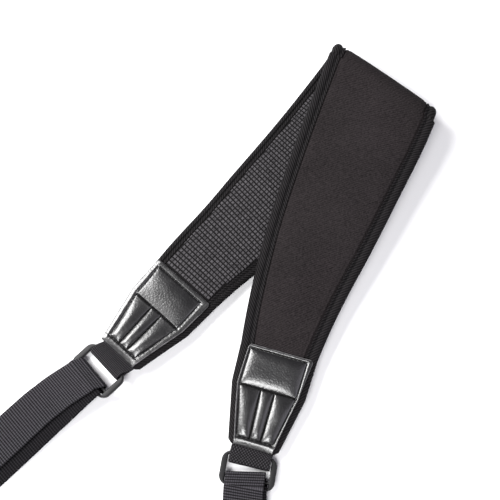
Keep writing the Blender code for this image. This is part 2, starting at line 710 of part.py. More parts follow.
def slide_buckle(name, strap_end):
    """Buckle with three bars and two slots, round at its corners."""
    centre = BUCKLE_LENGTH / 2 - BAR_WIDTH / 2
    outward = -plan(strap_end.end.buckle)

    def place(x, y, z):
        point = strap_end.origin + strap_end.bar_across * x + outward * y + UP * (z + strap_end.bar_height)
        return strap_end.rolled(point)

    outer = rounded_rectangle(BUCKLE_WIDTH / 2, BUCKLE_LENGTH / 2, BUCKLE_CORNER, CORNER_STEPS)
    inner = rounded_rectangle(SLOT_WIDTH / 2, BUCKLE_LENGTH / 2 - BAR_WIDTH, SLOT_CORNER, CORNER_STEPS)
    ring = bmesh.new()
    frame_ring(ring, shifted(outer, centre), shifted(inner, centre), BUCKLE_THICKNESS, BAR_ROUND, place)
    buckle = add_object(name, ring, PLASTIC)
    bar = bmesh.new()
    reach = SLOT_WIDTH / 2 + SIDE_BAR_WIDTH / 2
    section = rounded_rectangle(BAR_WIDTH / 2, BUCKLE_THICKNESS / 2 - FIT / 2, BAR_ROUND, SECTION_STEPS)
    rings = [[place(x, strap_end.middle_bar + y, z) for y, z in section] for x in (-reach, reach)]
    bridge_rings(bar, rings)
    join_solids(buckle, add_object(name + "_bar_helper", bar, PLASTIC))


def plain_clasp(name, strap_end):
    """One plain piece: a loop for the webbing and a closed eye beyond it."""
    heading = strap_end.webbing_heading(MAIN_REACH)
    across = plan(heading - 90.0)
    height = WEBBING_THICKNESS + FLOOR_GAP + FIT + CLASP_THICKNESS / 2
    origin = strap_end.place(MAIN_REACH) + across * strap_end.end.main + UP * height
    total = CLASP_LOOP_LENGTH + CLASP_EYE_LENGTH - CLASP_OVERLAP
    droop = math.asin((height - CLASP_THICKNESS / 2 - FLOOR_GAP) / total)
    outward = -plan(heading) * math.cos(droop) - UP * math.sin(droop)
    normal = UP * math.cos(droop) - plan(heading) * math.sin(droop)

    def place(x, y, z):
        return origin + across * x + outward * y + normal * z

    loop_centre = CLASP_LOOP_LENGTH / 2 - CLASP_BAR / 2
    eye_centre = CLASP_LOOP_LENGTH - CLASP_BAR / 2 - CLASP_OVERLAP + CLASP_EYE_LENGTH / 2
    solids = []
    for width, length, centre, corner in ((CLASP_WIDTH, CLASP_LOOP_LENGTH, loop_centre, CLASP_LOOP_CORNER),
                                          (CLASP_EYE_WIDTH, CLASP_EYE_LENGTH, eye_centre, CLASP_EYE_CORNER)):
        inner_corner = max(corner - CLASP_BAR, CLASP_ROUND)
        outer = rounded_rectangle(width / 2, length / 2, corner, CORNER_STEPS)
        inner = rounded_rectangle(width / 2 - CLASP_BAR, length / 2 - CLASP_BAR, inner_corner, CORNER_STEPS)
        ring = bmesh.new()
        frame_ring(ring, shifted(outer, centre), shifted(inner, centre), CLASP_THICKNESS, CLASP_ROUND, place)
        solids.append(ring)
    clasp = add_object(name, solids[0], PLASTIC)
    join_solids(clasp, add_object(name + "_eye_helper", solids[1], PLASTIC))


def stand_on_origin():
    """Moves every mesh so that the box round the strap is centred on Z and stands on the floor."""
    corners = []
    for thing in bpy.data.objects:
        corners += [vertex.co for vertex in thing.data.vertices]
    low = [min(c[axis] for c in corners) for axis in range(3)]
    high = [max(c[axis] for c in corners) for axis in range(3)]
    shift = Vector((-(low[0] + high[0]) / 2, -(low[1] + high[1]) / 2, -low[2]))
    for thing in bpy.data.objects:
        for vertex in thing.data.vertices:
            vertex.co += shift
        thing.data.update()


def main():
    """Builds the strap."""
    for thing in list(bpy.data.objects):
        bpy.data.objects.remove(thing, do_unlink=True)
    lower = Leg(-1, LOWER_LEG, LOWER_HEADINGS, LOWER_TAPERS)
    upper = Leg(1, UPPER_LEG, UPPER_HEADINGS, UPPER_TAPERS)
    ends = (StrapEnd(LEFT_END, lower), StrapEnd(RIGHT_END, upper))
    core = pad_stations(lower, upper, CORE_SETBACK)
    whole = pad_stations(lower, upper, 0.0)
    sweep("neoprene_pad", core, foam_profile, SMOOTH_CLOTH)
    sweep("grip_lining", core, lining_profile, GRIP_CLOTH)
    sweep("edge_binding_left", whole, binding_profile(-1), TAPE)
    sweep("edge_binding_right", whole, binding_profile(1), TAPE)
    for strap_end in ends:
        strap_end.build()
    stand_on_origin()


main()
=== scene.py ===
"""Dresses a padded tripod shoulder strap that lies folded in half on a pale table.

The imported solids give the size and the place. Each of them is replaced by a finely made piece of cloth, tape,
leather, webbing or moulded plastic that lies in the same space.

Lengths are in metres, angles are in degrees where no name says otherwise, and +Z is up.
"""

import logging
from dataclasses import dataclass
from enum import Enum
from math import asin, atan2, ceil, cos, exp, hypot, pi, radians, sin, sqrt, tan
from typing import Callable, NamedTuple, Sequence

import bmesh
import bpy
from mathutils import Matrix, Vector, noise

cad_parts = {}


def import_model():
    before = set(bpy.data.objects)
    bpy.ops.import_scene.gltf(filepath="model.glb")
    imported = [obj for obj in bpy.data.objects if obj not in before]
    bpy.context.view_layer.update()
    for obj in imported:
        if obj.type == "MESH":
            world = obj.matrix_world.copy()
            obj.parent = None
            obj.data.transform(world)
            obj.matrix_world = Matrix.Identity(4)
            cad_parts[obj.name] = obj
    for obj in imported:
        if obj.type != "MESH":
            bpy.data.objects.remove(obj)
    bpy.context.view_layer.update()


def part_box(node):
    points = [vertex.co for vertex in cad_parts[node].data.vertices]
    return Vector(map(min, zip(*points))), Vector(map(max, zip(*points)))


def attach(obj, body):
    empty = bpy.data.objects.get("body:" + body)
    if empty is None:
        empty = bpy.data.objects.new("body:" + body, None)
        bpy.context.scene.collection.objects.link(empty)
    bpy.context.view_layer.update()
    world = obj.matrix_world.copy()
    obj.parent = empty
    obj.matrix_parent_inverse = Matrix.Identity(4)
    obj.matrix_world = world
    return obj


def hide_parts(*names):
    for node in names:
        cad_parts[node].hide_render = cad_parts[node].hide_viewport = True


LOG = logging.getLogger("strap")
BODY = "root"
UP = Vector((0.0, 0.0, 1.0))
MM = 0.001
FLAT_MAP = "flat"

# Detail of the finer noise in the finishes, and the ranges of noise that are stretched over 0 to 1.
FINE_DETAIL = 3.0
CONTRAST = (0.3, 0.7)
SOFT_CONTRAST = (0.25, 0.75)

# A line gives the point at a length and the direction away from the surface there. A seam adds its whole length.
Piece = bpy.types.Object
Pair = tuple[float, float]
Colour = tuple[float, float, float]
Rows = tuple[Pair, ...]
Line = Callable[[float], tuple[Vector, Vector]]
Seam = tuple[Line, float]


class Side(Enum):
    """End of the strap that a piece belongs to."""

    LEFT = -1
    RIGHT = 1


class Face(Enum):
    """Face of the pad: the grip side or the smooth side."""

    INNER = -1
    OUTER = 1


class Weave(Enum):
    """Pattern of a webbing."""

    RIBS = "ribs"
    DIAMONDS = "diamonds"


# Plain maths


def plan(degrees: float) -> Vector:
    """Returns the unit vector in the table's plane at an angle from +X."""
    angle = radians(degrees)
    return Vector((cos(angle), sin(angle), 0.0))


def clamped(share: float) -> float:
    """Returns the share held between 0 and 1."""
    return min(max(share, 0.0), 1.0)


def between(one: float, two: float, share: float) -> float:
    """Returns the value at a share of the way from one to two."""
    return one + share * (two - one)


def eased(share: float) -> float:
    """Returns a smooth step from 0 to 1."""
    share = clamped(share)
    return share * share * (3.0 - 2.0 * share)


def bell(distance: float, width: float) -> float:
    """Returns 1 at distance 0, falling smoothly to nothing within about two widths."""
    return exp(-((distance / width) ** 2))


def along_table(rows: Rows, share: float) -> float:
    """Reads a smooth curve through the rows of a table.

    Args:
        rows: Pairs of a share and the value there, in rising order.
        share: Where to read the curve.

    Returns:
        The value at the share.
    """
    share = min(max(share, rows[0][0]), rows[-1][0])
    row = max(0, sum(1 for place, _ in rows[:-1] if place < share) - 1)
    slopes = []
    for index in (row, row + 1):
        before, after = rows[max(index - 1, 0)], rows[min(index + 1, len(rows) - 1)]
        slopes.append((after[1] - before[1]) / (after[0] - before[0]))
    span = rows[row + 1][0] - rows[row][0]
    t = (share - rows[row][0]) / span
    start = (2 * t ** 3 - 3 * t ** 2 + 1) * rows[row][1] + (t ** 3 - 2 * t ** 2 + t) * span * slopes[0]
    finish = (3 * t ** 2 - 2 * t ** 3) * rows[row + 1][1] + (t ** 3 - t ** 2) * span * slopes[1]
    return start + finish


def evenly(low: float, high: float, pitch: float) -> list[float]:
    """Returns places from low to high, both included, about a pitch apart."""
    count = max(1, round((high - low) / pitch))
    return [low + (high - low) * index / count for index in range(count + 1)]


def bunched(steps: int) -> list[float]:
    """Returns shares from 0 to 1, closer together at both ends."""
    return [(1.0 - cos(pi * step / steps)) / 2 for step in range(steps + 1)]


def fanned(steps: int) -> list[float]:
    """Returns places from -1 to 1, closer together at both ends."""
    return [sin(pi / 2 * (2.0 * step / steps - 1.0)) for step in range(steps + 1)]


def walked(points: Sequence[Vector]) -> list[float]:
    """Measures a line.

    Args:
        points: Its points in order.

    Returns:
        The length from the first point to each.
    """
    lengths = [0.0]
    for one, two in zip(points, points[1:]):
        lengths.append(lengths[-1] + (two - one).length)
    return lengths


def ripple(point: Vector, scale: float, seed: float = 0.0) -> float:
    """Returns smooth noise from -1 to 1 whose lumps are about a scale across."""
    return noise.noise(point / scale + Vector((seed, seed, seed)))


# Shader expressions


@dataclass(frozen=True)
class Term:
    """A shader socket that takes part in Python expressions, and the tree that new nodes go to."""

    tree: "ShaderTree"
    socket: bpy.types.NodeSocket

    def _maths(self, operation: str, *values: "Operand") -> "Term":
        """Adds a Math node and returns its output."""
        return self.tree.out(self.tree.node("ShaderNodeMath", {"operation": operation}, dict(enumerate(values))))

    def __add__(self, other: "Operand") -> "Term":
        """Sum."""
        return self._maths("ADD", self, other)

    def __sub__(self, other: "Operand") -> "Term":
        """Difference."""
        return self._maths("SUBTRACT", self, other)

    def __rsub__(self, other: "Operand") -> "Term":
        """Difference, from the right."""
        return self._maths("SUBTRACT", other, self)

    def __mul__(self, other: "Operand") -> "Term":
        """Product."""
        return self._maths("MULTIPLY", self, other)

    def wave(self, pitch: float) -> "Term":
        """Waves from 0 to 1 along a length, one for each pitch."""
        return self._maths("SINE", self * (2.0 * pi / pitch)) * 0.5 + 0.5

    def from_to(self, low: float, high: float) -> "Term":
        """Stretches the range from low to high over 0 to 1, held at both ends."""
        return self.tree.out(self.tree.node("ShaderNodeMapRange", {"clamp": True}, {
            "Value": self, "From Min": low, "From Max": high, "To Min": 0.0, "To Max": 1.0}), "Result")


Operand = Term | float


class ShaderTree:
    """The nodes of one material or world."""

    def __init__(self, owner: bpy.types.Material | bpy.types.World) -> None:
        """Empties the owner's node tree."""
        owner.use_nodes = True
        self.nodes = owner.node_tree.nodes
        self.links = owner.node_tree.links
        self.nodes.clear()

    def node(self, kind: str, settings: dict, inputs: dict) -> bpy.types.Node:
        """Adds a node.

        Args:
            kind: Type of the node.
            settings: Its properties, set before its inputs.
            inputs: Values or terms of its sockets, by name or number.

        Returns:
            The new node.
        """
        made = self.nodes.new(kind)
        for name, value in settings.items():
            setattr(made, name, value)
        for key, value in inputs.items():
            socket = made.inputs[key]
            if isinstance(value, Term):
                self.links.new(value.socket, socket)
            elif socket.type == "RGBA":
                socket.default_value = (*value, 1.0)
            else:
                socket.default_value = value
        return made

    def out(self, node: bpy.types.Node, name: str | int = 0) -> Term:
        """Returns one output of a node as a term."""
        return Term(self, node.outputs[name])

    def flat(self) -> tuple[Term, Term]:
        """Reads the flat map.

        Returns:
            The places across and along the flat cloth, in metres.
        """
        spread = self.node("ShaderNodeUVMap", {"uv_map": FLAT_MAP}, {})
        parts = self.node("ShaderNodeSeparateXYZ", {}, {"Vector": self.out(spread)})
        return self.out(parts, "X"), self.out(parts, "Y")

    def place(self) -> Term:
        """Returns the place in the strap's own frame, in metres."""
        return self.out(self.node("ShaderNodeTexCoord", {}, {}), "Object")

    def cloud(self, size: float, detail: float = 2.0) -> Term:
        """Returns noise from 0 to 1 whose lumps are about a size across."""
        made = self.node("ShaderNodeTexNoise", {}, {"Vector": self.place(), "Scale": 1.0 / size, "Detail": detail})
        return self.out(made, "Fac")

    def cells(self, size: float, feature: str) -> Term:
        """Returns the distance pattern of cells about a size across."""
        made = self.node("ShaderNodeTexVoronoi", {"feature": feature}, {"Vector": self.place(), "Scale": 1.0 / size})
        return self.out(made, "Distance")

    def mix(self, share: Term, first: Colour, second: Colour) -> Term:
        """Mixes two colours.

        Args:
            share: Share of the second.
            first: Colour at 0.
            second: Colour at 1.

        Returns:
            The colour between them.
        """
        made = self.node("ShaderNodeMix", {"data_type": "RGBA"}, {})
        sockets = {socket.identifier: socket for socket in (*made.inputs, *made.outputs)}
        self.links.new(share.socket, sockets["Factor_Float"])
        sockets["A_Color"].default_value = (*first, 1.0)
        sockets["B_Color"].default_value = (*second, 1.0)
        return Term(self, sockets["Result_Color"])


@dataclass(frozen=True)
class Look:
    """What varies over a surface, each from about 0 to 1: its shade, its wear and its height."""

    shade: Term
    wear: Term
    height: Term


@dataclass(frozen=True)
class Finish:
    """A finish: its even properties, and a method that makes what varies.

    The shade runs from the dark to the light factor of the colour, the wear adds up to its rough range to the
    roughness, and the height fills the relief, in metres.
    """

    name: str
    slot: str
    colour: Colour
    dark: float
    light: float
    roughness: float
    relief: float
    rough_range: float = 0.1
    gloss: float = 0.15
    coat: float = 0.0
    coat_roughness: float = 0.2

    def look(self, tree: ShaderTree) -> Look:
        """Makes what varies over the surface.

        Args:
            tree: Where the nodes go.

        Returns:
            The varying shade, wear and height.
        """
        raise NotImplementedError

    def material(self) -> bpy.types.Material:
        """Makes the material, once for each finish.

        Returns:
            The material.
        """
        known = bpy.data.materials.get(self.name)
        if known:
            return known
        made = bpy.data.materials.new(self.name)
        tree = ShaderTree(made)
        look = self.look(tree)
        dark, light = (tuple(factor * part for part in self.colour) for factor in (self.dark, self.light))
        bump = tree.node("ShaderNodeBump", {}, {
            "Strength": 1.0, "Distance": 1.0, "Height": look.height * self.relief})
        shader = tree.node("ShaderNodeBsdfPrincipled", {}, {
            "Base Color": tree.mix(look.shade, dark, light), "Normal": tree.out(bump),
            "Roughness": look.wear * self.rough_range + self.roughness, "Specular IOR Level": self.gloss,
            "Coat Weight": self.coat, "Coat Roughness": self.coat_roughness})
        tree.node("ShaderNodeOutputMaterial", {}, {"Surface": tree.out(shader)})
        return made


@dataclass(frozen=True)
class JerseyCloth(Finish):
    """Fine knitted face of the foam. Its shades and heights are the parts that each pattern has in them."""

    name: str = "jersey_cloth"
    slot: str = "smooth_cloth"
    colour: Colour = (0.0166, 0.0140, 0.0146)
    dark: float = 0.1
    light: float = 2.25
    roughness: float = 0.86
    rough_range: float = 0.08
    relief: float = 0.09 * MM
    gloss: float = 0.07
    wale: float = 0.75 * MM
    course: float = 0.95 * MM
    slant: float = 1.9 * MM
    fleck: float = 1.1 * MM
    patch: float = 30 * MM
    fleck_shade: float = 0.46
    slant_shade: float = 0.2
    patch_shade: float = 0.12
    loop_shade: float = 0.22
    slant_height: float = 0.5
    fleck_height: float = 0.8

    def look(self, tree: ShaderTree) -> Look:
        """Makes knitted loops in slanting rows, flecked all over and a little lighter in wide patches."""
        across, along = tree.flat()
        loops = across.wave(self.wale) * along.wave(self.course)
        slants = (across - along).wave(self.slant)
        flecks = tree.cloud(self.fleck, FINE_DETAIL).from_to(*SOFT_CONTRAST)
        patches = tree.cloud(self.patch).from_to(*CONTRAST)
        shade = flecks * self.fleck_shade + slants * self.slant_shade + patches * self.patch_shade
        height = loops + slants * self.slant_height + flecks * self.fleck_height
        return Look(shade + loops * self.loop_shade, flecks, height)


@dataclass(frozen=True)
class GripCloth(Finish):
    """Open ground cloth between the raised dashes."""

    name: str = "grip_ground_cloth"
    slot: str = "grip_cloth"
    colour: Colour = (0.0080, 0.0074, 0.0078)
    dark: float = 0.7
    light: float = 1.4
    roughness: float = 0.80
    relief: float = 0.05 * MM
    gloss: float = 0.05
    thread: float = 0.55 * MM
    patch: float = 2.5 * MM
    weave_shade: float = 0.4

    def look(self, tree: ShaderTree) -> Look:
        """Makes a plain weave with soft patches."""
        across, along = tree.flat()
        weave = across.wave(self.thread) * along.wave(self.thread)
        patches = tree.cloud(self.patch, FINE_DETAIL)
        shade = weave * self.weave_shade + patches * (1.0 - self.weave_shade)
        return Look(shade, patches, weave + patches)


@dataclass(frozen=True)
class GripDash(Finish):
    """Printed rubbery dashes of the grip face."""

    name: str = "grip_dash"
    slot: str = "grip_cloth"
    colour: Colour = (0.0480, 0.0453, 0.0485)
    dark: float = 0.25
    light: float = 1.75
    roughness: float = 0.52
    rough_range: float = 0.15
    relief: float = 0.04 * MM
    gloss: float = 0.25
    patch: float = 3.0 * MM
    fleck: float = 0.9 * MM
    fleck_contrast: Pair = (0.32, 0.68)
    patch_shade: float = 0.35

    def look(self, tree: ShaderTree) -> Look:
        """Makes a dull flecked surface, some dashes lighter than others."""
        patches = tree.cloud(self.patch).from_to(*CONTRAST)
        flecks = tree.cloud(self.fleck).from_to(*self.fleck_contrast)
        return Look(patches * self.patch_shade + flecks * (1.0 - self.patch_shade), flecks, flecks)


@dataclass(frozen=True)
class TwillTape(Finish):
    """Woven edge tape with slanting ribs. The thread's slope and pitch are parts of the ribs' own."""

    name: str = "twill_tape"
    slot: str = "edge_tape"
    colour: Colour = (0.0072, 0.0066, 0.0070)
    dark: float = 0.04
    light: float = 3.0
    roughness: float = 0.73
    relief: float = 0.20 * MM
    gloss: float = 0.06
    rib: float = 2.2 * MM
    thread_slope: float = 0.5
    thread_pitch: float = 0.45
    patch: float = 4.0 * MM
    # Share of the ribs in the colour, which paints their crests light and their hollows in shade.
    rib_shade: float = 0.74
    patch_shade: float = 0.14
    thread_shade: float = 0.12
    thread_height: float = 0.3

    def look(self, tree: ShaderTree) -> Look:
        """Makes slanting ribs with a fine thread across them, with painted shade between the ribs."""
        across, along = tree.flat()
        ribs = (across + along).wave(self.rib)
        threads = (across - along * self.thread_slope).wave(self.rib * self.thread_pitch)
        patches = tree.cloud(self.patch).from_to(*CONTRAST)
        # The colour follows the ribs' height: lighter on their crests and dark in the hollows between them, a painted
        # highlight and painted shade over the twill's own pattern.
        shade = ribs * self.rib_shade + patches * self.patch_shade + threads * self.thread_shade
        return Look(shade, patches, ribs + threads * self.thread_height)


@dataclass(frozen=True)
class PebbleLeather(Finish):
    """Glossy pebble-grain leather."""

    name: str = "pebble_leather"
    slot: str = "black_leather"
    colour: Colour = (0.0030, 0.0028, 0.0031)
    dark: float = 0.55
    light: float = 1.35
    roughness: float = 0.23
    rough_range: float = 0.2
    relief: float = 0.115 * MM
    gloss: float = 0.8
    coat: float = 0.8
    coat_roughness: float = 0.27
    pebble: float = 1.05 * MM
    crease_pitch: float = 2.3
    crease_width: float = 0.12
    pore: float = 0.35 * MM
    patch: float = 9.0 * MM
    crease_shade: float = 0.6
    pore_wear: float = 0.6
    crease_height: float = 0.1
    pore_height: float = 0.2

    def look(self, tree: ShaderTree) -> Look:
        """Makes pebbles with pores on them and a few wider creases, in patches of different wear."""
        pebbles = tree.cells(self.pebble, "SMOOTH_F1")
        creases = tree.cells(self.pebble * self.crease_pitch, "DISTANCE_TO_EDGE").from_to(0.0, self.crease_width)
        pores = tree.cloud(self.pore)
        patches = tree.cloud(self.patch).from_to(*CONTRAST)
        shade = creases * self.crease_shade + patches * (1.0 - self.crease_shade)
        wear = pores * self.pore_wear + patches * (1.0 - self.pore_wear)
        return Look(shade, wear, 1.0 - pebbles + creases * self.crease_height + pores * self.pore_height)


@dataclass(frozen=True)
class WovenWebbing(Finish):
    """Woven polyester webbing. Its diamonds are drawn with more contrast than its ribs."""

    name: str = "ribbed_webbing"
    slot: str = "webbing"
    colour: Colour = (0.0165, 0.0157, 0.0178)
    dark: float = 0.02
    light: float = 4.0
    roughness: float = 0.67
    relief: float = 0.2 * MM
    gloss: float = 0.07
    weave: Weave = Weave.RIBS
    rib: float = 1.9 * MM
    warp: float = 1.3 * MM
    fleck: float = 1.2 * MM
    diamond_contrast: float = 1.6
    warp_on_ribs: float = 0.6
    plain_rib: float = 0.5
    # Share of the weave in the colour, which paints its crests light and its hollows in shade.
    body_shade: float = 0.86
    fleck_shade: float = 0.14
    warp_height: float = 0.5
    fleck_height: float = 0.4

    def look(self, tree: ShaderTree) -> Look:
        """Makes the weave: ribs across the webbing, or slanting ribs that cross in diamonds, with painted shade in
        the hollows.
        """
        across, along = tree.flat()
        warp = across.wave(self.warp)
        if self.weave is Weave.DIAMONDS:
            body = (across + along).wave(self.rib) * (across - along).wave(self.rib) * self.diamond_contrast
        else:
            body = along.wave(self.rib) * (warp * self.warp_on_ribs + self.plain_rib)
        flecks = tree.cloud(self.fleck).from_to(*SOFT_CONTRAST)
        height = body + warp * self.warp_height + flecks * self.fleck_height
        # The colour follows the weave's height: lighter on the crests and darkest in the grooves, a painted highlight
        # and painted shade over the weave's own pattern.
        return Look(body * self.body_shade + flecks * self.fleck_shade, flecks, height)


@dataclass(frozen=True)
class SatinPlastic(Finish):
    """Moulded plastic with a fine spark-eroded grain."""

    name: str = "moulded_plastic"
    slot: str = "satin_plastic"
    colour: Colour = (0.0095, 0.0093, 0.0103)
    dark: float = 0.8
    light: float = 1.2
    roughness: float = 0.42
    rough_range: float = 0.12
    relief: float = 0.02 * MM
    gloss: float = 0.24
    grain: float = 0.4 * MM
    rubbed: float = 8.0 * MM
    rubbed_contrast: Pair = (0.35, 0.7)
    rubbed_shade: float = 0.6
    rubbed_polish: float = 0.5

    def look(self, tree: ShaderTree) -> Look:
        """Makes a fine even grain with slightly rubbed places."""
        grain = tree.cloud(self.grain, FINE_DETAIL)
        rubbed = tree.cloud(self.rubbed).from_to(*self.rubbed_contrast)
        shade = rubbed * self.rubbed_shade + grain * (1.0 - self.rubbed_shade)
        return Look(shade, grain - rubbed * self.rubbed_polish, grain)


@dataclass(frozen=True)
class SewingThread(Finish):
    """Waxed black thread."""

    name: str = "sewing_thread"
    slot: str = "black_leather"
    colour: Colour = (0.0030, 0.0029, 0.0030)
    dark: float = 0.6
    light: float = 1.5
    roughness: float = 0.5
    relief: float = 0.03 * MM
    twist: float = 0.4 * MM

    def look(self, tree: ShaderTree) -> Look:
        """Makes the twist of the thread."""
        across, along = tree.flat()
        twist = (across + along).wave(self.twist)
        return Look(twist, twist, twist)


@dataclass(frozen=True)
class CutEdge(Finish):
    """Bare grey edge of the cut leather."""

    name: str = "cut_edge"
    slot: str = "black_leather"
    colour: Colour = (0.17, 0.165, 0.17)
    dark: float = 0.35
    light: float = 1.2
    roughness: float = 0.6
    relief: float = 0.03 * MM
    rubbed: float = 3.0 * MM

    def look(self, tree: ShaderTree) -> Look:
        """Makes an uneven rubbed grey."""
        rubbed = tree.cloud(self.rubbed, FINE_DETAIL).from_to(*CONTRAST)
        return Look(rubbed, rubbed, rubbed)


@dataclass(frozen=True)
class PaleTable(Finish):
    """Matt white table."""

    name: str = "pale_table"
    slot: str = ""
    colour: Colour = (0.93, 0.93, 0.94)
    dark: float = 0.995
    light: float = 1.0
    roughness: float = 0.93
    rough_range: float = 0.02
    relief: float = 0.01 * MM
    gloss: float = 0.0
    patch: float = 60 * MM

    def look(self, tree: ShaderTree) -> Look:
        """Makes an almost even white."""
        patches = tree.cloud(self.patch)
        return Look(patches, patches, patches)


# Meshes


class MeshMaker:
    """Collects points and faces with their places on the flat cloth, and makes an object of them."""

    def __init__(self) -> None:
        """Starts with nothing."""
        self.points: list[Vector] = []
        self.faces: list[tuple[int, ...]] = []
        self.flats: list[tuple[Pair, ...]] = []
        self.slots: list[int] = []

    def add(self, points: Sequence[Vector]) -> list[int]:
        """Adds points and returns their numbers."""
        self.points.extend(points)
        return list(range(len(self.points) - len(points), len(self.points)))

    def face(self, corners: Sequence[int], flats: Sequence[Pair], slot: int = 0) -> None:
        """Adds a face.

        Args:
            corners: Numbers of its points.
            flats: Place of each corner on the flat cloth.
            slot: Number of its material.
        """
        self.faces.append(tuple(corners))
        self.flats.append(tuple(flats))
        self.slots.append(slot)

    def grid(self, rows: Sequence[Sequence[int]], acrosses: Sequence[Sequence[float]], alongs: Sequence[float],
             wrapped: bool = False, looped: bool = False,
             slot: Callable[[int, int], int] = lambda row, column: 0) -> None:
        """Fills the space between rows of points with quads.

        Args:
            rows: Numbers of the points of each row.
            acrosses: Places across the cloth in each row, with one more for the way back if it is wrapped.
            alongs: Place along the cloth of each row, with one more for the way back if it is looped.
            wrapped: Whether each row is a ring.
            looped: Whether the last row joins the first.
            slot: Gives the number of the material for a row and a column.
        """
        count = len(rows[0])
        for index in range(len(rows) if looped else len(rows) - 1):
            after = (index + 1) % len(rows)
            for column in range(count if wrapped else count - 1):
                beside = (column + 1) % count
                corners = (rows[index][column], rows[index][beside], rows[after][beside], rows[after][column])
                near, far, start, end = acrosses[index], acrosses[after], alongs[index], alongs[index + 1]
                flats = ((near[column], start), (near[column + 1], start), (far[column + 1], end), (far[column], end))
                self.face(corners, flats, slot(index, column))

    def cap(self, ring: Sequence[int], acrosses: Sequence[float], along: float) -> None:
        """Closes a ring with one face."""
        self.face(ring, [(across, along) for across in acrosses[:len(ring)]])

    def tube(self, rings: Sequence[Sequence[Vector]], alongs: Sequence[float]) -> None:
        """Adds a closed solid through rings of points.

        Args:
            rings: The rings, with equal numbers of points.
            alongs: Place of each ring along the cloth.
        """
        rows = [self.add(ring) for ring in rings]
        acrosses = [walked([*ring, ring[0]]) for ring in rings]
        self.grid(rows, acrosses, alongs, wrapped=True)
        self.cap(rows[0], acrosses[0], alongs[0])
        self.cap(rows[-1], acrosses[-1], alongs[-1])

    def build(self, name: str, finishes: Sequence[Finish], crease: float = 50.0) -> Piece:
        """Makes the object.

        Args:
            name: Its name.
            finishes: Its finishes in the order of the slot numbers.
            crease: Degrees between faces over which an edge is drawn sharp.

        Returns:
            The object.
        """
        mesh = bpy.data.meshes.new(name)
        mesh.from_pydata([tuple(point) for point in self.points], [], self.faces)
        spread = mesh.uv_layers.new(name=FLAT_MAP)
        corners = [pair for flats in self.flats for pair in flats]
        spread.data.foreach_set("uv", [value for pair in corners for value in pair])
        mesh.polygons.foreach_set("material_index", self.slots)
        for finish in finishes:
            mesh.materials.append(finish.material())
        tidy = bmesh.new()
        tidy.from_mesh(mesh)
        bmesh.ops.recalc_face_normals(tidy, faces=tidy.faces)
        tidy.to_mesh(mesh)
        tidy.free()
        mesh.shade_smooth()
        mesh.set_sharp_from_angle(angle=radians(crease))
        made = bpy.data.objects.new(name, mesh)
        bpy.context.scene.collection.objects.link(made)
        return made


@dataclass(frozen=True)
class Stitching:
    """A run of stitches: short arched threads that lie on a surface."""

    pitch: float = 2.6 * MM
    length: float = 1.9 * MM
    radius: float = 0.24 * MM
    sides: int = 6
    bow: float = 0.5
    shares: tuple[float, ...] = (0.0, 0.18, 0.5, 0.82, 1.0)
    waists: tuple[float, ...] = (0.35, 0.9, 1.0, 0.9, 0.35)

    def thread(self, maker: MeshMaker, first: Vector, second: Vector, out: Vector, start: float) -> None:
        """Adds one stitch between two points.

        Args:
            maker: Where it goes.
            first: Its one end.
            second: Its other end.
            out: Direction away from the surface.
            start: Its place along the line, for the twist.
        """
        ahead = (second - first).normalized()
        aside = ahead.cross(out).normalized()
        angles = [2 * pi * step / self.sides for step in range(self.sides)]
        spokes = [aside * cos(angle) + out * sin(angle) for angle in angles]
        rings = []
        for share, waist in zip(self.shares, self.waists):
            middle = first.lerp(second, share) + out * self.radius * self.bow * sin(pi * share)
            rings.append([middle + spoke * self.radius * waist for spoke in spokes])
        maker.tube(rings, [start + share * self.length for share in self.shares])

    def build(self, name: str, seams: Sequence[Seam], thread: Finish) -> Piece:
        """Sews seams and dresses all their stitches as one piece.

        Args:
            name: Name of the piece.
            seams: The seams.
            thread: Finish of the stitches.

        Returns:
            The stitches.
        """
        maker = MeshMaker()
        for line, length in seams:
            count = int(length / self.pitch)
            spare = (length - count * self.pitch + self.pitch - self.length) / 2
            for index in range(count):
                start = spare + index * self.pitch
                first, out = line(start)
                self.thread(maker, first, line(start + self.length)[0], out, start)
        return dress(maker.build(name, [thread]), thread)


def dress(piece: Piece, finish: Finish, *nodes: str) -> Piece:
    """Lets a piece ride on the strap and stand for solids.

    Args:
        piece: The finished piece.
        finish: Finish of the piece; not used.
        *nodes: Solids that it replaces.

    Returns:
        The piece.
    """
    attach(piece, BODY)
    if nodes:
        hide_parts(*nodes)
    return piece


# The pad's line


@dataclass(frozen=True)
class PadSizes:
    """Sizes of the folded pad."""

    fit: float = 0.3 * MM
    width: float = 78.5 * MM
    patch_top_width: float = 47.0 * MM
    shoulder_width: float = 45.0 * MM
    end_width: float = 29.8 * MM
    thickness: float = 6.0 * MM
    fold_inner_radius: float = 6.0 * MM
    ridge_angle: float = -37.0
    right_slope: float = 2.5
    left_rise: float = 0.25
    settling: float = 0.33
    tape_wall: float = 0.9 * MM
    tape_flange: float = 7.5 * MM
    grip_flange: float = 5.7 * MM
    lining: float = 1.0 * MM
    core_setback: float = 14.0 * MM
    patch_length: float = 58.5 * MM
    shoulder_drop: float = 23.8 * MM
    leather: float = 1.0 * MM
    panel_rise: float = 1.6 * MM
    walk_step: float = 0.5 * MM

    @property
    def half(self) -> float:
        """Half of the pad's thickness."""
        return self.thickness / 2

    def flange(self, face: Face) -> float:
        """Width of the tape on a face."""
        return self.tape_flange if face is Face.OUTER else self.grip_flange

    @property
    def end_height(self) -> float:
        """Height of the pad's middle layer at its end, where the leather below it rests on the table."""
        return self.half + self.fit + self.leather + self.panel_rise


@dataclass
class Station:
    """Frame of the pad's section at one place."""

    leg: "Leg"
    centre: Vector
    along: Vector
    across: Vector
    half_width: float

    def __post_init__(self) -> None:
        """Works out the direction away from the pad's smooth face."""
        out = self.along.cross(self.across)
        self.out = out.normalized()
        self.stretch = 1.0 / out.length

    def point(self, aside: float, outwards: float) -> Vector:
        """Point of the section, on the rolled pad."""
        return self.leg.rolled(self.centre + self.across * aside + self.out * outwards)


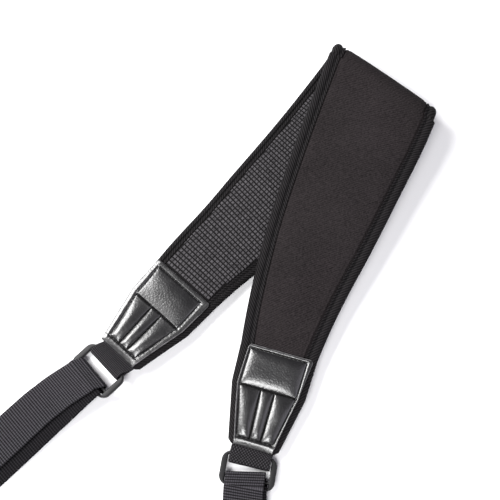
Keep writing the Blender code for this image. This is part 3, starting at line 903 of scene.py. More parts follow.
@dataclass
class Leg:
    """One half of the pad, from the middle of the fold out to its end."""

    side: Side
    length: float
    headings: Rows
    tapers: Rows
    start: Vector
    sizes: PadSizes = PadSizes()

    def __post_init__(self) -> None:
        """Walks the centre line."""
        self.patch_start = self.length - self.sizes.patch_length
        self.radius = self.sizes.fold_inner_radius + self.sizes.half
        self.quarter = self.radius * pi / 2
        self.points = self.walk()
        self.lacing: "EndLine | None" = None

    def heading(self, distance: float) -> float:
        """Direction of the leg; it is straight along the patch."""
        return along_table(self.headings, min(distance, self.patch_start) / self.length)

    def height(self, distance: float) -> float:
        """Height of the pad's middle layer above the table, past the fold.

        Args:
            distance: Length from the middle of the fold.

        Returns:
            The height.
        """
        sizes = self.sizes
        if self.side is Side.LEFT:
            rise = eased((distance / self.patch_start - 1.0 + sizes.left_rise) / sizes.left_rise)
            return between(sizes.half, sizes.end_height, rise)
        top = sizes.half + 2 * self.radius
        patch_height = sizes.end_height + sizes.patch_length * tan(radians(sizes.right_slope))
        if distance > self.patch_start:
            return between(patch_height, sizes.end_height, (distance - self.patch_start) / sizes.patch_length)
        return between(top, patch_height, (distance - self.quarter) / (self.patch_start - self.quarter))

    def walk(self) -> list[Vector]:
        """Finds the centre line.

        Returns:
            Its points, a short step apart, from the middle of the fold.
        """
        sizes = self.sizes
        sign = self.side.value
        ridge = plan(sizes.ridge_angle)
        away = plan(sizes.ridge_angle + 90.0)
        drift = abs(tan(radians(self.heading(0.0) - sizes.ridge_angle - 90.0))) * sign
        points = []
        here = self.start.copy()
        count = int(round(self.length / sizes.walk_step))
        for index in range(count + 1):
            distance = self.length * index / count
            if distance <= self.quarter:
                angle = distance / self.radius
                here = self.start + ridge * drift * distance - away * self.radius * (1 - cos(angle))
                here.z = sizes.half + self.radius * (1 + sign * sin(angle))
            else:
                here = here - plan(self.heading(distance)) * (self.length / count)
                here.z = self.height(distance)
            points.append(here.copy())
        return points

    def half_width(self, distance: float) -> float:
        """Half of the pad's width.

        Args:
            distance: Length from the middle of the fold.

        Returns:
            The half width.
        """
        sizes = self.sizes
        if distance <= self.patch_start:
            loss = along_table(self.tapers, distance / self.patch_start)
            return between(sizes.width, sizes.patch_top_width, loss) / 2
        down = distance - self.patch_start
        if down <= sizes.shoulder_drop:
            return between(sizes.patch_top_width, sizes.shoulder_width, down / sizes.shoulder_drop) / 2
        share = clamped((down - sizes.shoulder_drop) / (sizes.patch_length - sizes.shoulder_drop))
        return between(sizes.shoulder_width, sizes.end_width, share) / 2

    def station(self, distance: float) -> Station:
        """Frame of the pad's section.

        Args:
            distance: Length from the middle of the fold.

        Returns:
            The frame there.
        """
        last = len(self.points) - 1
        place = min(distance / self.length, 1.0) * last
        index = min(int(place), last - 1)
        centre = self.points[index].lerp(self.points[index + 1], place - index)
        before = self.points[max(index - 1, 0)]
        after = self.points[min(index + 2, last)]
        sign = self.side.value
        ridge_angle = self.sizes.ridge_angle
        along = (after - before).normalized() * sign
        if distance < self.quarter:
            angle = distance / self.radius * sign
            along = (UP * cos(angle) - plan(ridge_angle + 90.0) * sin(angle)).normalized()
        settled = eased((distance - self.quarter) / (self.patch_start * self.sizes.settling))
        square = self.heading(distance) - 90.0
        across = plan(between(ridge_angle, square, settled))
        return Station(self, centre, along, across, self.half_width(distance))

    def rolled(self, point: Vector) -> Vector:
        """The point after the roll of this leg's end."""
        return self.lacing.rolled(point) if self.lacing else point


@dataclass
class PadLine:
    """The whole pad from its left end to its right end, measured from the middle of the fold."""

    lower: Leg
    upper: Leg
    fold_crowding: int = 3

    @property
    def bare(self) -> Pair:
        """The places between which no leather covers the pad."""
        return -self.lower.patch_start, self.upper.patch_start

    def station(self, place: float) -> Station:
        """Frame of the pad at a place, which is negative on the lower leg."""
        return self.lower.station(-place) if place < 0.0 else self.upper.station(place)

    def places(self, setback: float, pitch: float) -> list[float]:
        """Places of sections from end to end, closer together at the fold.

        Args:
            setback: How far both ends stay short of the pad's own.
            pitch: Distance between the places.

        Returns:
            The places in order.
        """
        lower, upper = self.lower, self.upper
        first = evenly(-lower.length + setback, -lower.quarter, pitch)
        fold = evenly(-lower.quarter, upper.quarter, pitch / self.fold_crowding)
        second = evenly(upper.quarter, upper.length - setback, pitch)
        return first + fold[1:-1] + second

    def lifted(self, place: float) -> float:
        """How free the smooth face is of the table: 0 under the lower leg and 1 on the upper leg."""
        return eased((place + self.lower.quarter) / self.upper.quarter)


# Pieces of the pad


@dataclass
class FoamCore:
    """Foam pad with its knitted smooth face."""

    line: PadLine
    sizes: PadSizes
    finish: Finish = JerseyCloth()
    pitch: float = 2.4 * MM
    columns: int = 44
    edge_dip: float = 0.95 * MM
    edge_dip_width: float = 0.9 * MM
    line_inset: float = 2.1 * MM
    line_depth: float = 0.4 * MM
    line_width: float = 0.5 * MM
    crown: float = 0.5 * MM
    waviness: float = 0.35 * MM
    wave_size: float = 38 * MM
    wave_seed: float = 3.7
    wave_inset: float = 6 * MM
    side_steps: int = 6

    def relief(self, place: float, aside: float, reach: float, point: Vector) -> float:
        """Height of the smooth face over its plain level.

        Args:
            place: Place along the pad.
            aside: Place across the pad.
            reach: Half width between the tapes.
            point: The point in space, for the soft waves.

        Returns:
            The height.
        """
        inward = reach - abs(aside)
        pressed = self.edge_dip * bell(inward, self.edge_dip_width)
        pressed += self.line_depth * bell(inward - self.line_inset, self.line_width)
        free = self.line.lifted(place)
        swelling = self.crown * (1.0 - (aside / reach) ** 2)
        swelling += self.waviness * ripple(point, self.wave_size, self.wave_seed) * eased(inward / self.wave_inset)
        return free * swelling - pressed

    def ring(self, place: float) -> list[Vector]:
        """Section of the foam at a place.

        Args:
            place: Place along the pad.

        Returns:
            Its points in order.
        """
        sizes = self.sizes
        station = self.line.station(place)
        half = sizes.half
        tuck = half - sizes.tape_wall - sizes.fit
        under = half - sizes.lining - sizes.fit
        reach = station.half_width - sizes.tape_flange - sizes.fit
        grip_reach = station.half_width - sizes.grip_flange - sizes.fit
        pairs = []
        for share in fanned(self.columns):
            aside = -reach * share
            height = self.relief(place, aside, reach, station.centre + station.across * aside)
            pairs.append((aside, half + height))
        centre = station.half_width - half
        angles = [pi / 2 + pi * step / self.side_steps for step in range(self.side_steps + 1)]
        left = [(-reach, tuck)] + [(-centre + tuck * cos(a), tuck * sin(a)) for a in angles]
        left += [(-grip_reach, -tuck), (-grip_reach, -under)]
        pairs += left + [(-aside, height) for aside, height in reversed(left)]
        return [station.point(aside * station.stretch, height) for aside, height in pairs]

    def build(self) -> Piece:
        """Builds and dresses the foam.

        Returns:
            The piece.
        """
        places = self.line.places(self.sizes.core_setback, self.pitch)
        maker = MeshMaker()
        maker.tube([self.ring(place) for place in places], places)
        piece = dress(maker.build("foam_core", [self.finish]), self.finish, "neoprene_pad")
        return piece


@dataclass
class GripFace:
    """Inner face of the pad: cloth with rows of small raised dashes."""

    line: PadLine
    sizes: PadSizes
    cloth: Finish = GripCloth()
    dash: Finish = GripDash()
    pitch: float = 3.0 * MM
    columns: int = 24
    crown: float = 0.5 * MM
    crown_loss: float = 0.5
    edge_dip: float = 0.5 * MM
    edge_share: float = 0.96
    row_pitch: float = 2.55 * MM
    dash_pitch: float = 2.33 * MM
    dash_length: float = 1.95 * MM
    dash_width: float = 1.75 * MM
    dash_height: float = 0.5 * MM
    dash_shoulder: float = 0.4
    dash_bevel: float = 0.3 * MM
    dash_sink: float = 0.08 * MM
    edge_gap: float = 0.3 * MM
    least_dash: float = 0.75 * MM
    crease: float = 35.0

    def level(self, place: float, share: float) -> float:
        """Height of the cloth's face over the pad's middle layer, at a share of the way from there to the tape."""
        swelling = self.crown * (1.0 - share * share) * (1.0 - self.crown_loss * self.line.lifted(place))
        return (self.edge_dip * max(abs(share) - self.edge_share, 0.0) / (1.0 - self.edge_share)
                - self.sizes.half - swelling)

    def reach(self, station: Station) -> float:
        """Half width of the cloth between the tapes."""
        return station.half_width - self.sizes.grip_flange - self.sizes.fit

    def add_dash(self, maker: MeshMaker, place: float, low: float, high: float) -> None:
        """Adds one raised dash.

        Args:
            maker: Where it goes.
            place: Its place along the pad.
            low: Where it starts across the pad.
            high: Where it ends.
        """
        rings = []
        shoulder = self.dash_height * self.dash_shoulder
        for inset, rise in ((0.0, -self.dash_sink), (0.0, shoulder), (self.dash_bevel, self.dash_height)):
            ring = []
            for ahead, aside in ((-1, -1), (1, -1), (1, 1), (-1, 1)):
                spot = place + ahead * (self.dash_width / 2 - inset)
                station = self.line.station(spot)
                reach = self.reach(station)
                across = (low + high) / 2 + aside * ((high - low) / 2 - inset)
                depth = self.level(spot, across / reach) - rise
                ring.append((station.point(across * station.stretch, depth), across, spot))
            rings.append(ring)
        rows = [maker.add([corner[0] for corner in ring]) for ring in rings]
        for one, two, one_ring, two_ring in zip(rows, rows[1:], rings, rings[1:]):
            for index in range(len(one)):
                beside = (index + 1) % len(one)
                flats = [one_ring[index][1:], one_ring[beside][1:], two_ring[beside][1:], two_ring[index][1:]]
                maker.face((one[index], one[beside], two[beside], two[index]), flats, slot=1)
        for end in (-1, 0):
            maker.face(rows[end], [corner[1:] for corner in rings[end]], slot=1)

    def build(self) -> Piece:
        """Builds and dresses the grip face.

        Returns:
            The piece.
        """
        maker = MeshMaker()
        sizes = self.sizes
        places = self.line.places(sizes.core_setback, self.pitch)
        rings = []
        shares = [2.0 * index / self.columns - 1.0 for index in range(self.columns + 1)]
        for place in places:
            station = self.line.station(place)
            reach = self.reach(station)
            pairs = [(share * reach, self.level(place, share)) for share in shares]
            pairs += [(reach, sizes.lining - sizes.half), (-reach, sizes.lining - sizes.half)]
            rings.append([station.point(aside * station.stretch, depth) for aside, depth in pairs])
        maker.tube(rings, places)
        for place in evenly(*self.line.bare, self.row_pitch)[1:-1]:
            reach = self.reach(self.line.station(place)) - self.edge_gap
            count = int((reach + self.dash_length / 2) / self.dash_pitch)
            for index in range(-count, count + 1):
                middle = index * self.dash_pitch
                low, high = max(middle - self.dash_length / 2, -reach), min(middle + self.dash_length / 2, reach)
                if high - low > self.least_dash:
                    self.add_dash(maker, place, low, high)
        piece = maker.build("grip_face", [self.cloth, self.dash], self.crease)
        return dress(piece, self.cloth, "grip_lining")


@dataclass
class EdgeTape:
    """Woven tape folded round one long edge, with its stitching on both faces."""

    name: str
    node: str
    sign: int
    line: PadLine
    sizes: PadSizes
    finish: Finish = TwillTape()
    thread: Finish = SewingThread(name="tape_thread", slot="edge_tape")
    stitching: Stitching = Stitching(pitch=2.9 * MM, length=2.2 * MM, radius=0.22 * MM)
    pitch: float = 2.0 * MM
    round_steps: int = 10
    flange_steps: int = 12
    stitch_inset: float = 2.0 * MM
    stitch_dip: float = 0.8 * MM
    stitch_dip_width: float = 0.9 * MM
    end_round: float = 1.8 * MM
    narrowing: float = 2.2 * MM
    narrowing_length: float = 22 * MM

    def from_end(self, place: float) -> float:
        """Distance to the nearer end of the pad."""
        leg = self.line.lower if place < 0.0 else self.line.upper
        return leg.length - abs(place)

    def flange(self, place: float, face: Face) -> float:
        """Width of the tape on a face; it narrows under the leather towards each end."""
        return self.sizes.flange(face) - self.narrowing * (1.0 - eased(self.from_end(place) / self.narrowing_length))

    def dip(self, inward: float) -> float:
        """Depth that the stitches pull the tape in, at a distance from its free edge."""
        return self.stitch_dip * bell(inward - self.stitch_inset, self.stitch_dip_width)

    def ring(self, place: float) -> list[Vector]:
        """Section of the tape at a place.

        Args:
            place: Place along the pad.

        Returns:
            Its points in order.
        """
        station = self.line.station(place)
        outer = self.sizes.half
        inner = outer - self.sizes.tape_wall
        lack = max(self.end_round - self.from_end(place), 0.0)
        centre = station.half_width - outer - self.end_round + sqrt(self.end_round ** 2 - lack ** 2)
        angles = [pi / 2 - pi * step / self.round_steps for step in range(self.round_steps + 1)]
        flats = {}
        for face in Face:
            tip = station.half_width - self.flange(place, face)
            straight = [tip + (centre - tip) * step / self.flange_steps for step in range(self.flange_steps)]
            flats[face] = [(aside, face.value * (outer - self.dip(aside - tip))) for aside in straight]
        bend = [(centre + outer * cos(a), outer * sin(a)) for a in angles]
        inside = [(centre + inner * cos(a), inner * sin(a)) for a in reversed(angles)]
        pairs = flats[Face.OUTER] + bend + flats[Face.INNER][::-1] + [(flats[Face.INNER][0][0], -inner)] + inside
        pairs.append((flats[Face.OUTER][0][0], inner))
        return [station.point(self.sign * aside * station.stretch, height) for aside, height in pairs]

    def seam(self, face: Face) -> Seam:
        """Line of the stitches on one face.

        Args:
            face: The face that they lie on.

        Returns:
            The seam between both leather patches.
        """
        low, high = self.line.bare

        def line(length: float) -> tuple[Vector, Vector]:
            """Follows the seam.

            Args:
                length: Length along it.

            Returns:
                The point there, and the direction away from the pad.
            """
            place = low + length
            station = self.line.station(place)
            aside = self.sign * (station.half_width - self.flange(place, face) + self.stitch_inset)
            level = face.value * (self.sizes.half - self.stitch_dip)
            return station.point(aside * station.stretch, level), station.out * face.value

        return line, high - low

    def build(self) -> list[Piece]:
        """Builds and dresses the tape and its stitches.

        Returns:
            The tape and the stitches.
        """
        places = self.line.places(0.0, self.pitch)
        maker = MeshMaker()
        maker.tube([self.ring(place) for place in places], places)
        piece = dress(maker.build(self.name, [self.finish]), self.finish, self.node)
        seams = [self.seam(face) for face in Face]
        return [piece, self.stitching.build(self.name + "_stitches", seams, self.thread)]


# Leather


@dataclass(frozen=True)
class Swell:
    """How the stuffing rises from seam to seam: the place of its crest, and how sudden its rise and fall are."""

    crest: float
    rise: float
    fall: float

    def height(self, share: float) -> float:
        """Rises to the crest and falls.

        Args:
            share: Share of the way from seam to seam.

        Returns:
            The share of the full height.
        """
        if share < self.crest:
            return sin(pi / 2 * clamped(share / self.crest)) ** self.rise
        return 1.0 - clamped((share - self.crest) / (1.0 - self.crest)) ** self.fall


@dataclass(frozen=True)
class PatchPlan:
    """Outline of a leather patch, the stitched frame inside it and its stuffing.

    Each table's rows hold a share of the patch's length and the distance from the pad's edge there. The pale cut
    edge shows along a side from its bare share on, and the lean is how much lower the panel is at its low side.
    """

    cut_low: Rows
    cut_high: Rows
    frame_low: Rows
    frame_high: Rows
    top_margin: float
    bare_low: float
    bare_high: float
    panel: Swell
    ribs: Swell
    lean: float


class Across(NamedTuple):
    """Places across the patch at one distance from its top: its cut edges and its stitched sides."""

    cut_low: float
    frame_low: float
    frame_high: float
    cut_high: float

    @property
    def middle(self) -> float:
        """Middle between the stitched sides."""
        return (self.frame_low + self.frame_high) / 2

    @property
    def inner(self) -> float:
        """Half of the width between the stitched sides."""
        return (self.frame_high - self.frame_low) / 2


@dataclass
class LeatherPatch:
    """Leather on one face of one end: a puffed panel and three ribs in a stitched frame."""

    name: str
    node: str
    leg: Leg
    face: Face
    layout: PatchPlan
    sizes: PadSizes
    finish: Finish = PebbleLeather()
    edge_finish: Finish = CutEdge()
    thread: Finish = SewingThread()
    stitching: Stitching = Stitching()
    end_margin: float = 4.8 * MM
    panel_groove: float = 24.5 * MM
    split_top: float = 0.24
    split_end: float = 0.31
    panel_rise: float = 1.8 * MM
    panel_squareness: float = 3.5
    panel_fullness: float = 0.7
    rib_rise: float = 1.55 * MM
    rim_rise: float = 0.4 * MM
    margin_rise: float = 0.3 * MM
    groove: float = 0.8 * MM
    groove_width: float = 0.5 * MM
    seam_groove: float = 0.65 * MM
    edge_round: float = 0.35 * MM
    edge_strip: float = 0.45 * MM
    corner: float = 2.4 * MM
    least_margin: float = 0.3 * MM
    mouth_dip: float = 1.35 * MM
    mouth_length: float = 5.5 * MM
    mouth_squareness: int = 3
    pucker: float = 0.06 * MM
    gathering: float = 0.2
    drape: float = 0.3
    pucker_reach: float = 1.6 * MM
    wrinkle: float = 0.07 * MM
    wrinkle_size: float = 4.5 * MM
    wrinkle_seed: float = 9.1
    wrinkle_stretch: float = 0.35
    open_wrinkle: float = 0.3
    lump: float = 0.22 * MM
    lump_size: float = 14 * MM
    margin_lump: float = 0.3
    seam_reach: float = 3.0 * MM
    face_shift: float = 7.0
    rib_columns: tuple[int, int, int] = (24, 18, 24)
    margin_columns: int = 7
    row_pitch: float = 0.5 * MM
    least_rows: int = 8
    crease: float = 75.0

    @property
    def ribs_end(self) -> float:
        """Where the ribs stop, measured down the patch."""
        return self.sizes.patch_length - self.end_margin

    def across(self, down: float) -> Across:
        """Places across the patch at a distance from its top.

        Args:
            down: Distance from the top edge.

        Returns:
            Its cut edges and stitched sides.
        """
        half = self.leg.half_width(self.leg.patch_start + down)
        share = down / self.sizes.patch_length
        layout = self.layout
        turn = self.corner - sqrt(self.corner ** 2 - max(self.corner - down, 0.0) ** 2)
        frame_low = along_table(layout.frame_low, share)
        frame_high = along_table(layout.frame_high, share)
        cut_low = min(along_table(layout.cut_low, share) + turn, frame_low - self.least_margin)
        cut_high = min(along_table(layout.cut_high, share) + turn, frame_high - self.least_margin)
        return Across(cut_low - half, frame_low - half, half - frame_high, half - cut_high)

    def split(self, down: float) -> float:
        """Middle rib's share of the ribs' width."""
        past = clamped((down - self.panel_groove) / (self.sizes.patch_length - self.panel_groove))
        return between(self.split_top, self.split_end, past)

    def puff(self, down: float, share: float, rib_share: float) -> float:
        """Height of the stuffing under the leather.

        Args:
            down: Distance from the top edge.
            share: Place across, from -1 to 1 at the stitched sides.
            rib_share: Place across its rib, from 0 to 1.

        Returns:
            The height.
        """
        top = self.layout.top_margin
        if abs(share) >= 1.0 or not top <= down <= self.ribs_end:
            return 0.0
        if down < self.panel_groove:
            length = (down - top) / (self.panel_groove - top)
            leaning = 1.0 - self.layout.lean * (1.0 - share) / 2
            across = (1.0 - abs(share) ** self.panel_squareness) ** self.panel_fullness
            return self.panel_rise * leaning * self.layout.panel.height(length) * across
        length = (down - self.panel_groove) / (self.ribs_end - self.panel_groove)
        return self.rib_rise * self.layout.ribs.height(length) * (4.0 * rib_share * (1.0 - rib_share))

    def seam_gap(self, down: float, offset: float, inner: float) -> tuple[float, float]:
        """Distances to the stitched frame and to the seams inside it.

        Args:
            down: Distance from the top edge.
            offset: Place across the patch, from the middle between the stitched sides.
            inner: Half width between the stitched sides.

        Returns:
            Distance to the frame, and to the groove and the rib seams.
        """
        top = self.layout.top_margin
        outside = max(abs(offset) - inner, 0.0)
        to_side = hypot(abs(offset) - inner, max(top - down, 0.0, down - self.ribs_end))
        frame = min(to_side, hypot(down - top, outside), hypot(down - self.ribs_end, outside))
        inside = hypot(down - self.panel_groove, outside)
        if self.panel_groove < down < self.ribs_end:
            inside = min(inside, abs(abs(offset) - self.split(down) * inner))
        return frame, inside

    def level(self, station: Station, down: float, aside: float, rib_share: float) -> float:
        """Height of the leather's face over the pad's middle layer.

        Args:
            station: Frame of the pad there.
            down: Distance from the top edge.
            aside: Place across the patch.
            rib_share: Place across its rib, from 0 to 1.

        Returns:
            The height.
        """
        across = self.across(down)
        offset = aside - across.middle
        place = station.centre + station.across * aside + UP * (self.face_shift * self.face.value)
        frame, inside = self.seam_gap(down, offset, across.inner)
        near = min(frame, inside)
        stuffed = self.puff(down, offset / across.inner, rib_share)
        height = self.sizes.half + self.sizes.fit + self.sizes.leather + stuffed
        lumpiness = eased(near / self.seam_reach) * (1.0 if stuffed > 0.0 else self.margin_lump)
        height += self.lump * ripple(place, self.lump_size) * lumpiness
        drawn = Vector((place.x, place.y * self.wrinkle_stretch, place.z))
        gathered = between(self.open_wrinkle, 1.0, bell(near, self.seam_reach))
        height += self.wrinkle * ripple(drawn, self.wrinkle_size, self.wrinkle_seed) * gathered
        waves = sin(2 * pi * (down + aside) / self.stitching.pitch)
        height += self.pucker * waves * bell(near, self.pucker_reach)
        if stuffed <= 0.0:
            height += self.margin_rise * eased(frame / self.groove_width)
            height += self.rim_rise * sin(pi * clamped((down - self.ribs_end) / self.end_margin))
        pull = 1.0 - self.gathering * (1.0 - waves)
        height -= self.groove * bell(inside, self.groove_width)
        height -= self.seam_groove * pull * bell(frame, self.groove_width)
        rim = min(aside - across.cut_low, across.cut_high - aside, down, self.sizes.patch_length - down)
        if rim < self.edge_round:
            height -= self.edge_round - sqrt(max(self.edge_round ** 2 - (self.edge_round - rim) ** 2, 0.0))
        return height - self.sag(station, down, aside)

    def sag(self, station: Station, down: float, aside: float) -> float:
        """How far the leather dips towards the tab at its end, and bends down with the pad's rounded sides.

        Args:
            station: Frame of the pad there.
            down: Distance from the top edge.
            aside: Place across the patch.

        Returns:
            The depth under the plain level.
        """
        share = 1.0 - clamped(abs(aside) / station.half_width) ** self.mouth_squareness
        past = (down - self.sizes.patch_length + self.mouth_length) / self.mouth_length
        radius = self.sizes.half + self.sizes.fit
        over = clamped((abs(aside) - station.half_width + self.sizes.half) / radius)
        return self.mouth_dip * share * eased(past) + self.drape * radius * over

    def columns(self, down: float) -> list[Pair]:
        """Places across the patch and each one's share of its rib, closer together at the seams.

        Args:
            down: Distance from the top edge.

        Returns:
            The places from side to side.
        """
        across = self.across(down)
        split = self.split(down)
        shares = [1.0 - cos(pi / 2 * step / self.margin_columns) for step in range(self.margin_columns)]
        found = [(between(across.cut_low, across.frame_low, share), 0.0) for share in shares]
        for rib, (low, high) in enumerate(((-1.0, -split), (-split, split), (split, 1.0))):
            for share in bunched(self.rib_columns[rib])[:-1]:
                found.append((across.middle + across.inner * between(low, high, share), share))
        found.append((across.frame_high, 1.0))
        return found + [(between(across.cut_high, across.frame_high, share), 1.0) for share in reversed(shares)]

    def downs(self) -> list[float]:
        """Places the rows of points, closer together at the grooves and edges.

        Returns:
            Their distances from the leather's top edge.
        """
        stops = (0.0, self.layout.top_margin, self.panel_groove, self.ribs_end, self.sizes.patch_length)
        found = [0.0]
        for low, high in zip(stops, stops[1:]):
            steps = max(self.least_rows, round((high - low) / self.row_pitch))
            found += [between(low, high, share) for share in bunched(steps)[1:]]
        return found

    def surface(self, down: float, aside: float) -> tuple[Vector, Vector]:
        """Finds a place for a stitch.

        Args:
            down: Distance from the top edge.
            aside: Place across the patch.

        Returns:
            Point of the leather's face, and the direction away from the pad.
        """
        station = self.leg.station(self.leg.patch_start + down)
        level = self.level(station, down, aside, 0.0)
        return station.point(aside, self.face.value * level), station.out * self.face.value

    def seams(self) -> list[Seam]:
        """Lists the stitched lines.

        Returns:
            The three seams across the patch, then those down its sides and between its ribs.
        """
        def spot(down: float, share: float) -> tuple[Vector, Vector]:
            """Place of a stitch at a distance from the top, and at a share from -1 to 1 between the sides."""
            across = self.across(down)
            return self.surface(down, across.middle + share * across.inner)

        top, groove, half = self.layout.top_margin, self.panel_groove, self.stitching.pitch / 2
        found = []
        for down in (top, groove, self.ribs_end):
            across = self.across(down)
            found.append((lambda length, down=down, low=across.frame_low: self.surface(down, low + length),
                          2 * across.inner))
        for sign in (-1, 1):
            found.append((lambda length, sign=sign: spot(top + half + length, sign), self.ribs_end - (top + half)))
            found.append((lambda length, sign=sign: spot(groove + half + length,
                                                         sign * self.split(groove + half + length)),
                          self.ribs_end - (groove + half)))
        return found

    def build(self) -> list[Piece]:
        """Builds and dresses the leather and its stitches.

        Returns:
            The leather and the stitches.
        """
        maker = MeshMaker()
        tops, floors, acrosses, downs = [], [], [], self.downs()
        under = self.sizes.half + self.sizes.fit
        for down in downs:
            station = self.leg.station(self.leg.patch_start + down)
            columns = self.columns(down)
            upper = [self.face.value * self.level(station, down, aside, share) for aside, share in columns]
            lower = [self.face.value * (under - self.sag(station, down, aside)) for aside, _ in columns]
            tops.append(maker.add([station.point(aside, level) for (aside, _), level in zip(columns, upper)]))
            floors.append(maker.add([station.point(aside, level) for (aside, _), level in zip(columns, lower)]))
            acrosses.append([aside for aside, _ in columns])

        def strip(row: int, column: int) -> int:
            """Finds where the cut edge shows: along the top, and down each side from its bare share on.

            Args:
                row: Number of the row.
                column: Number of the column.

            Returns:
                Number of the material.
            """
            if downs[row + 1] <= self.edge_strip:
                return 1
            share = downs[row] / self.sizes.patch_length
            low = share >= self.layout.bare_low and acrosses[row][column + 1] - acrosses[row][0] <= self.edge_strip
            high = share >= self.layout.bare_high and acrosses[row][-1] - acrosses[row][column] <= self.edge_strip
            return int(low or high)

        maker.grid(tops, acrosses, downs, slot=strip)
        maker.grid(floors, acrosses, downs)
        for column in (0, -1):
            sides = [[top[column], floor[column]] for top, floor in zip(tops, floors)]
            spread = [[across[column], across[column] + self.sizes.leather] for across in acrosses]
            maker.grid(sides, spread, downs, slot=lambda row, column: 1)
        for row in (0, -1):
            maker.grid([tops[row], floors[row]], [acrosses[row]] * 2, [downs[row], downs[row] + self.sizes.leather],
                       slot=lambda row, column: 1)
        piece = dress(maker.build(self.name, [self.finish, self.edge_finish], self.crease), self.finish, self.node)
        return [piece, self.stitching.build(self.name + "_stitches", self.seams(), self.thread)]


# Ends


@dataclass(frozen=True)
class EndShape:
    """What differs between the two ends: gaps, slacks and shifts in metres, directions in degrees."""

    side: Side
    gap: float
    tab: float
    buckle: float
    webbing: float
    tab_slack: float
    tab_skew: float
    slack: float
    skew: float
    fold: float
    crossing: float
    main: float
    under: float
    tail: float
    roll: float
    tab_weave: Weave
    patch: PatchPlan

    @property
    def name(self) -> str:
        """Word for the end in the names of its pieces."""
        return self.side.name.lower()


@dataclass(frozen=True)
class LacingSizes:
    """Sizes of the tab, the webbing, the slide buckle and the clasp."""

    webbing_width: float = 23.2 * MM
    tab_width: float = 24.8 * MM
    thick: float = 1.4 * MM
    tab_seat: float = 12.0 * MM
    main_reach: float = 130.0 * MM
    tail_reach: float = 100.0 * MM
    hem: float = 22.0 * MM
    landing: float = 26.0 * MM
    landing_radius: float = 12.0 * MM
    easing: float = 12.0 * MM
    slot_play: float = 1.0 * MM
    side_bar: float = 3.5 * MM
    buckle_thickness: float = 3.0 * MM
    buckle_corner: float = 5.5 * MM
    bar: float = 1.8 * MM
    fold_room: float = 8.3 * MM
    far_slot_room: float = 1.0 * MM
    slot_corner: float = 1.2 * MM
    bar_round: float = 0.8 * MM
    clasp_play: float = 3.8 * MM
    clasp_bar: float = 3.5 * MM
    loop_length: float = 13.0 * MM
    loop_corner: float = 4.0 * MM
    eye_width: float = 21.0 * MM
    eye_length: float = 30.0 * MM
    eye_corner: float = 10.0 * MM
    clasp_thickness: float = 3.0 * MM
    clasp_overlap: float = 2.0 * MM
    clasp_round: float = 1.1 * MM
    mouth_roll: float = 0.45
    roll_release: float = 75.0 * MM
    floor_gap: float = 0.1 * MM
    bend_step: float = radians(8.0)
    least_bend: float = radians(0.5)
    most_bend: float = radians(342.0)
    place_step: float = 5.0 * MM

    @property
    def slot_width(self) -> float:
        """Inner width of the slide buckle."""
        return self.tab_width + self.slot_play

    @property
    def buckle_width(self) -> float:
        """Outer width of the slide buckle."""
        return self.slot_width + 2 * self.side_bar

    @property
    def clasp_width(self) -> float:
        """Outer width of the clasp's loop."""
        return self.webbing_width + self.clasp_play + 2 * self.clasp_bar


@dataclass(frozen=True)
class Turn:
    """A line's turn round a bar's corner, which it passes on one side."""

    reach: float
    height: float
    radius: float
    sense: int
    skew: float = 0.0
    shift: float = 0.0


@dataclass(frozen=True)
class Spot:
    """Middle of a webbing and its direction across, at one place of its line."""

    centre: Vector
    across: Vector


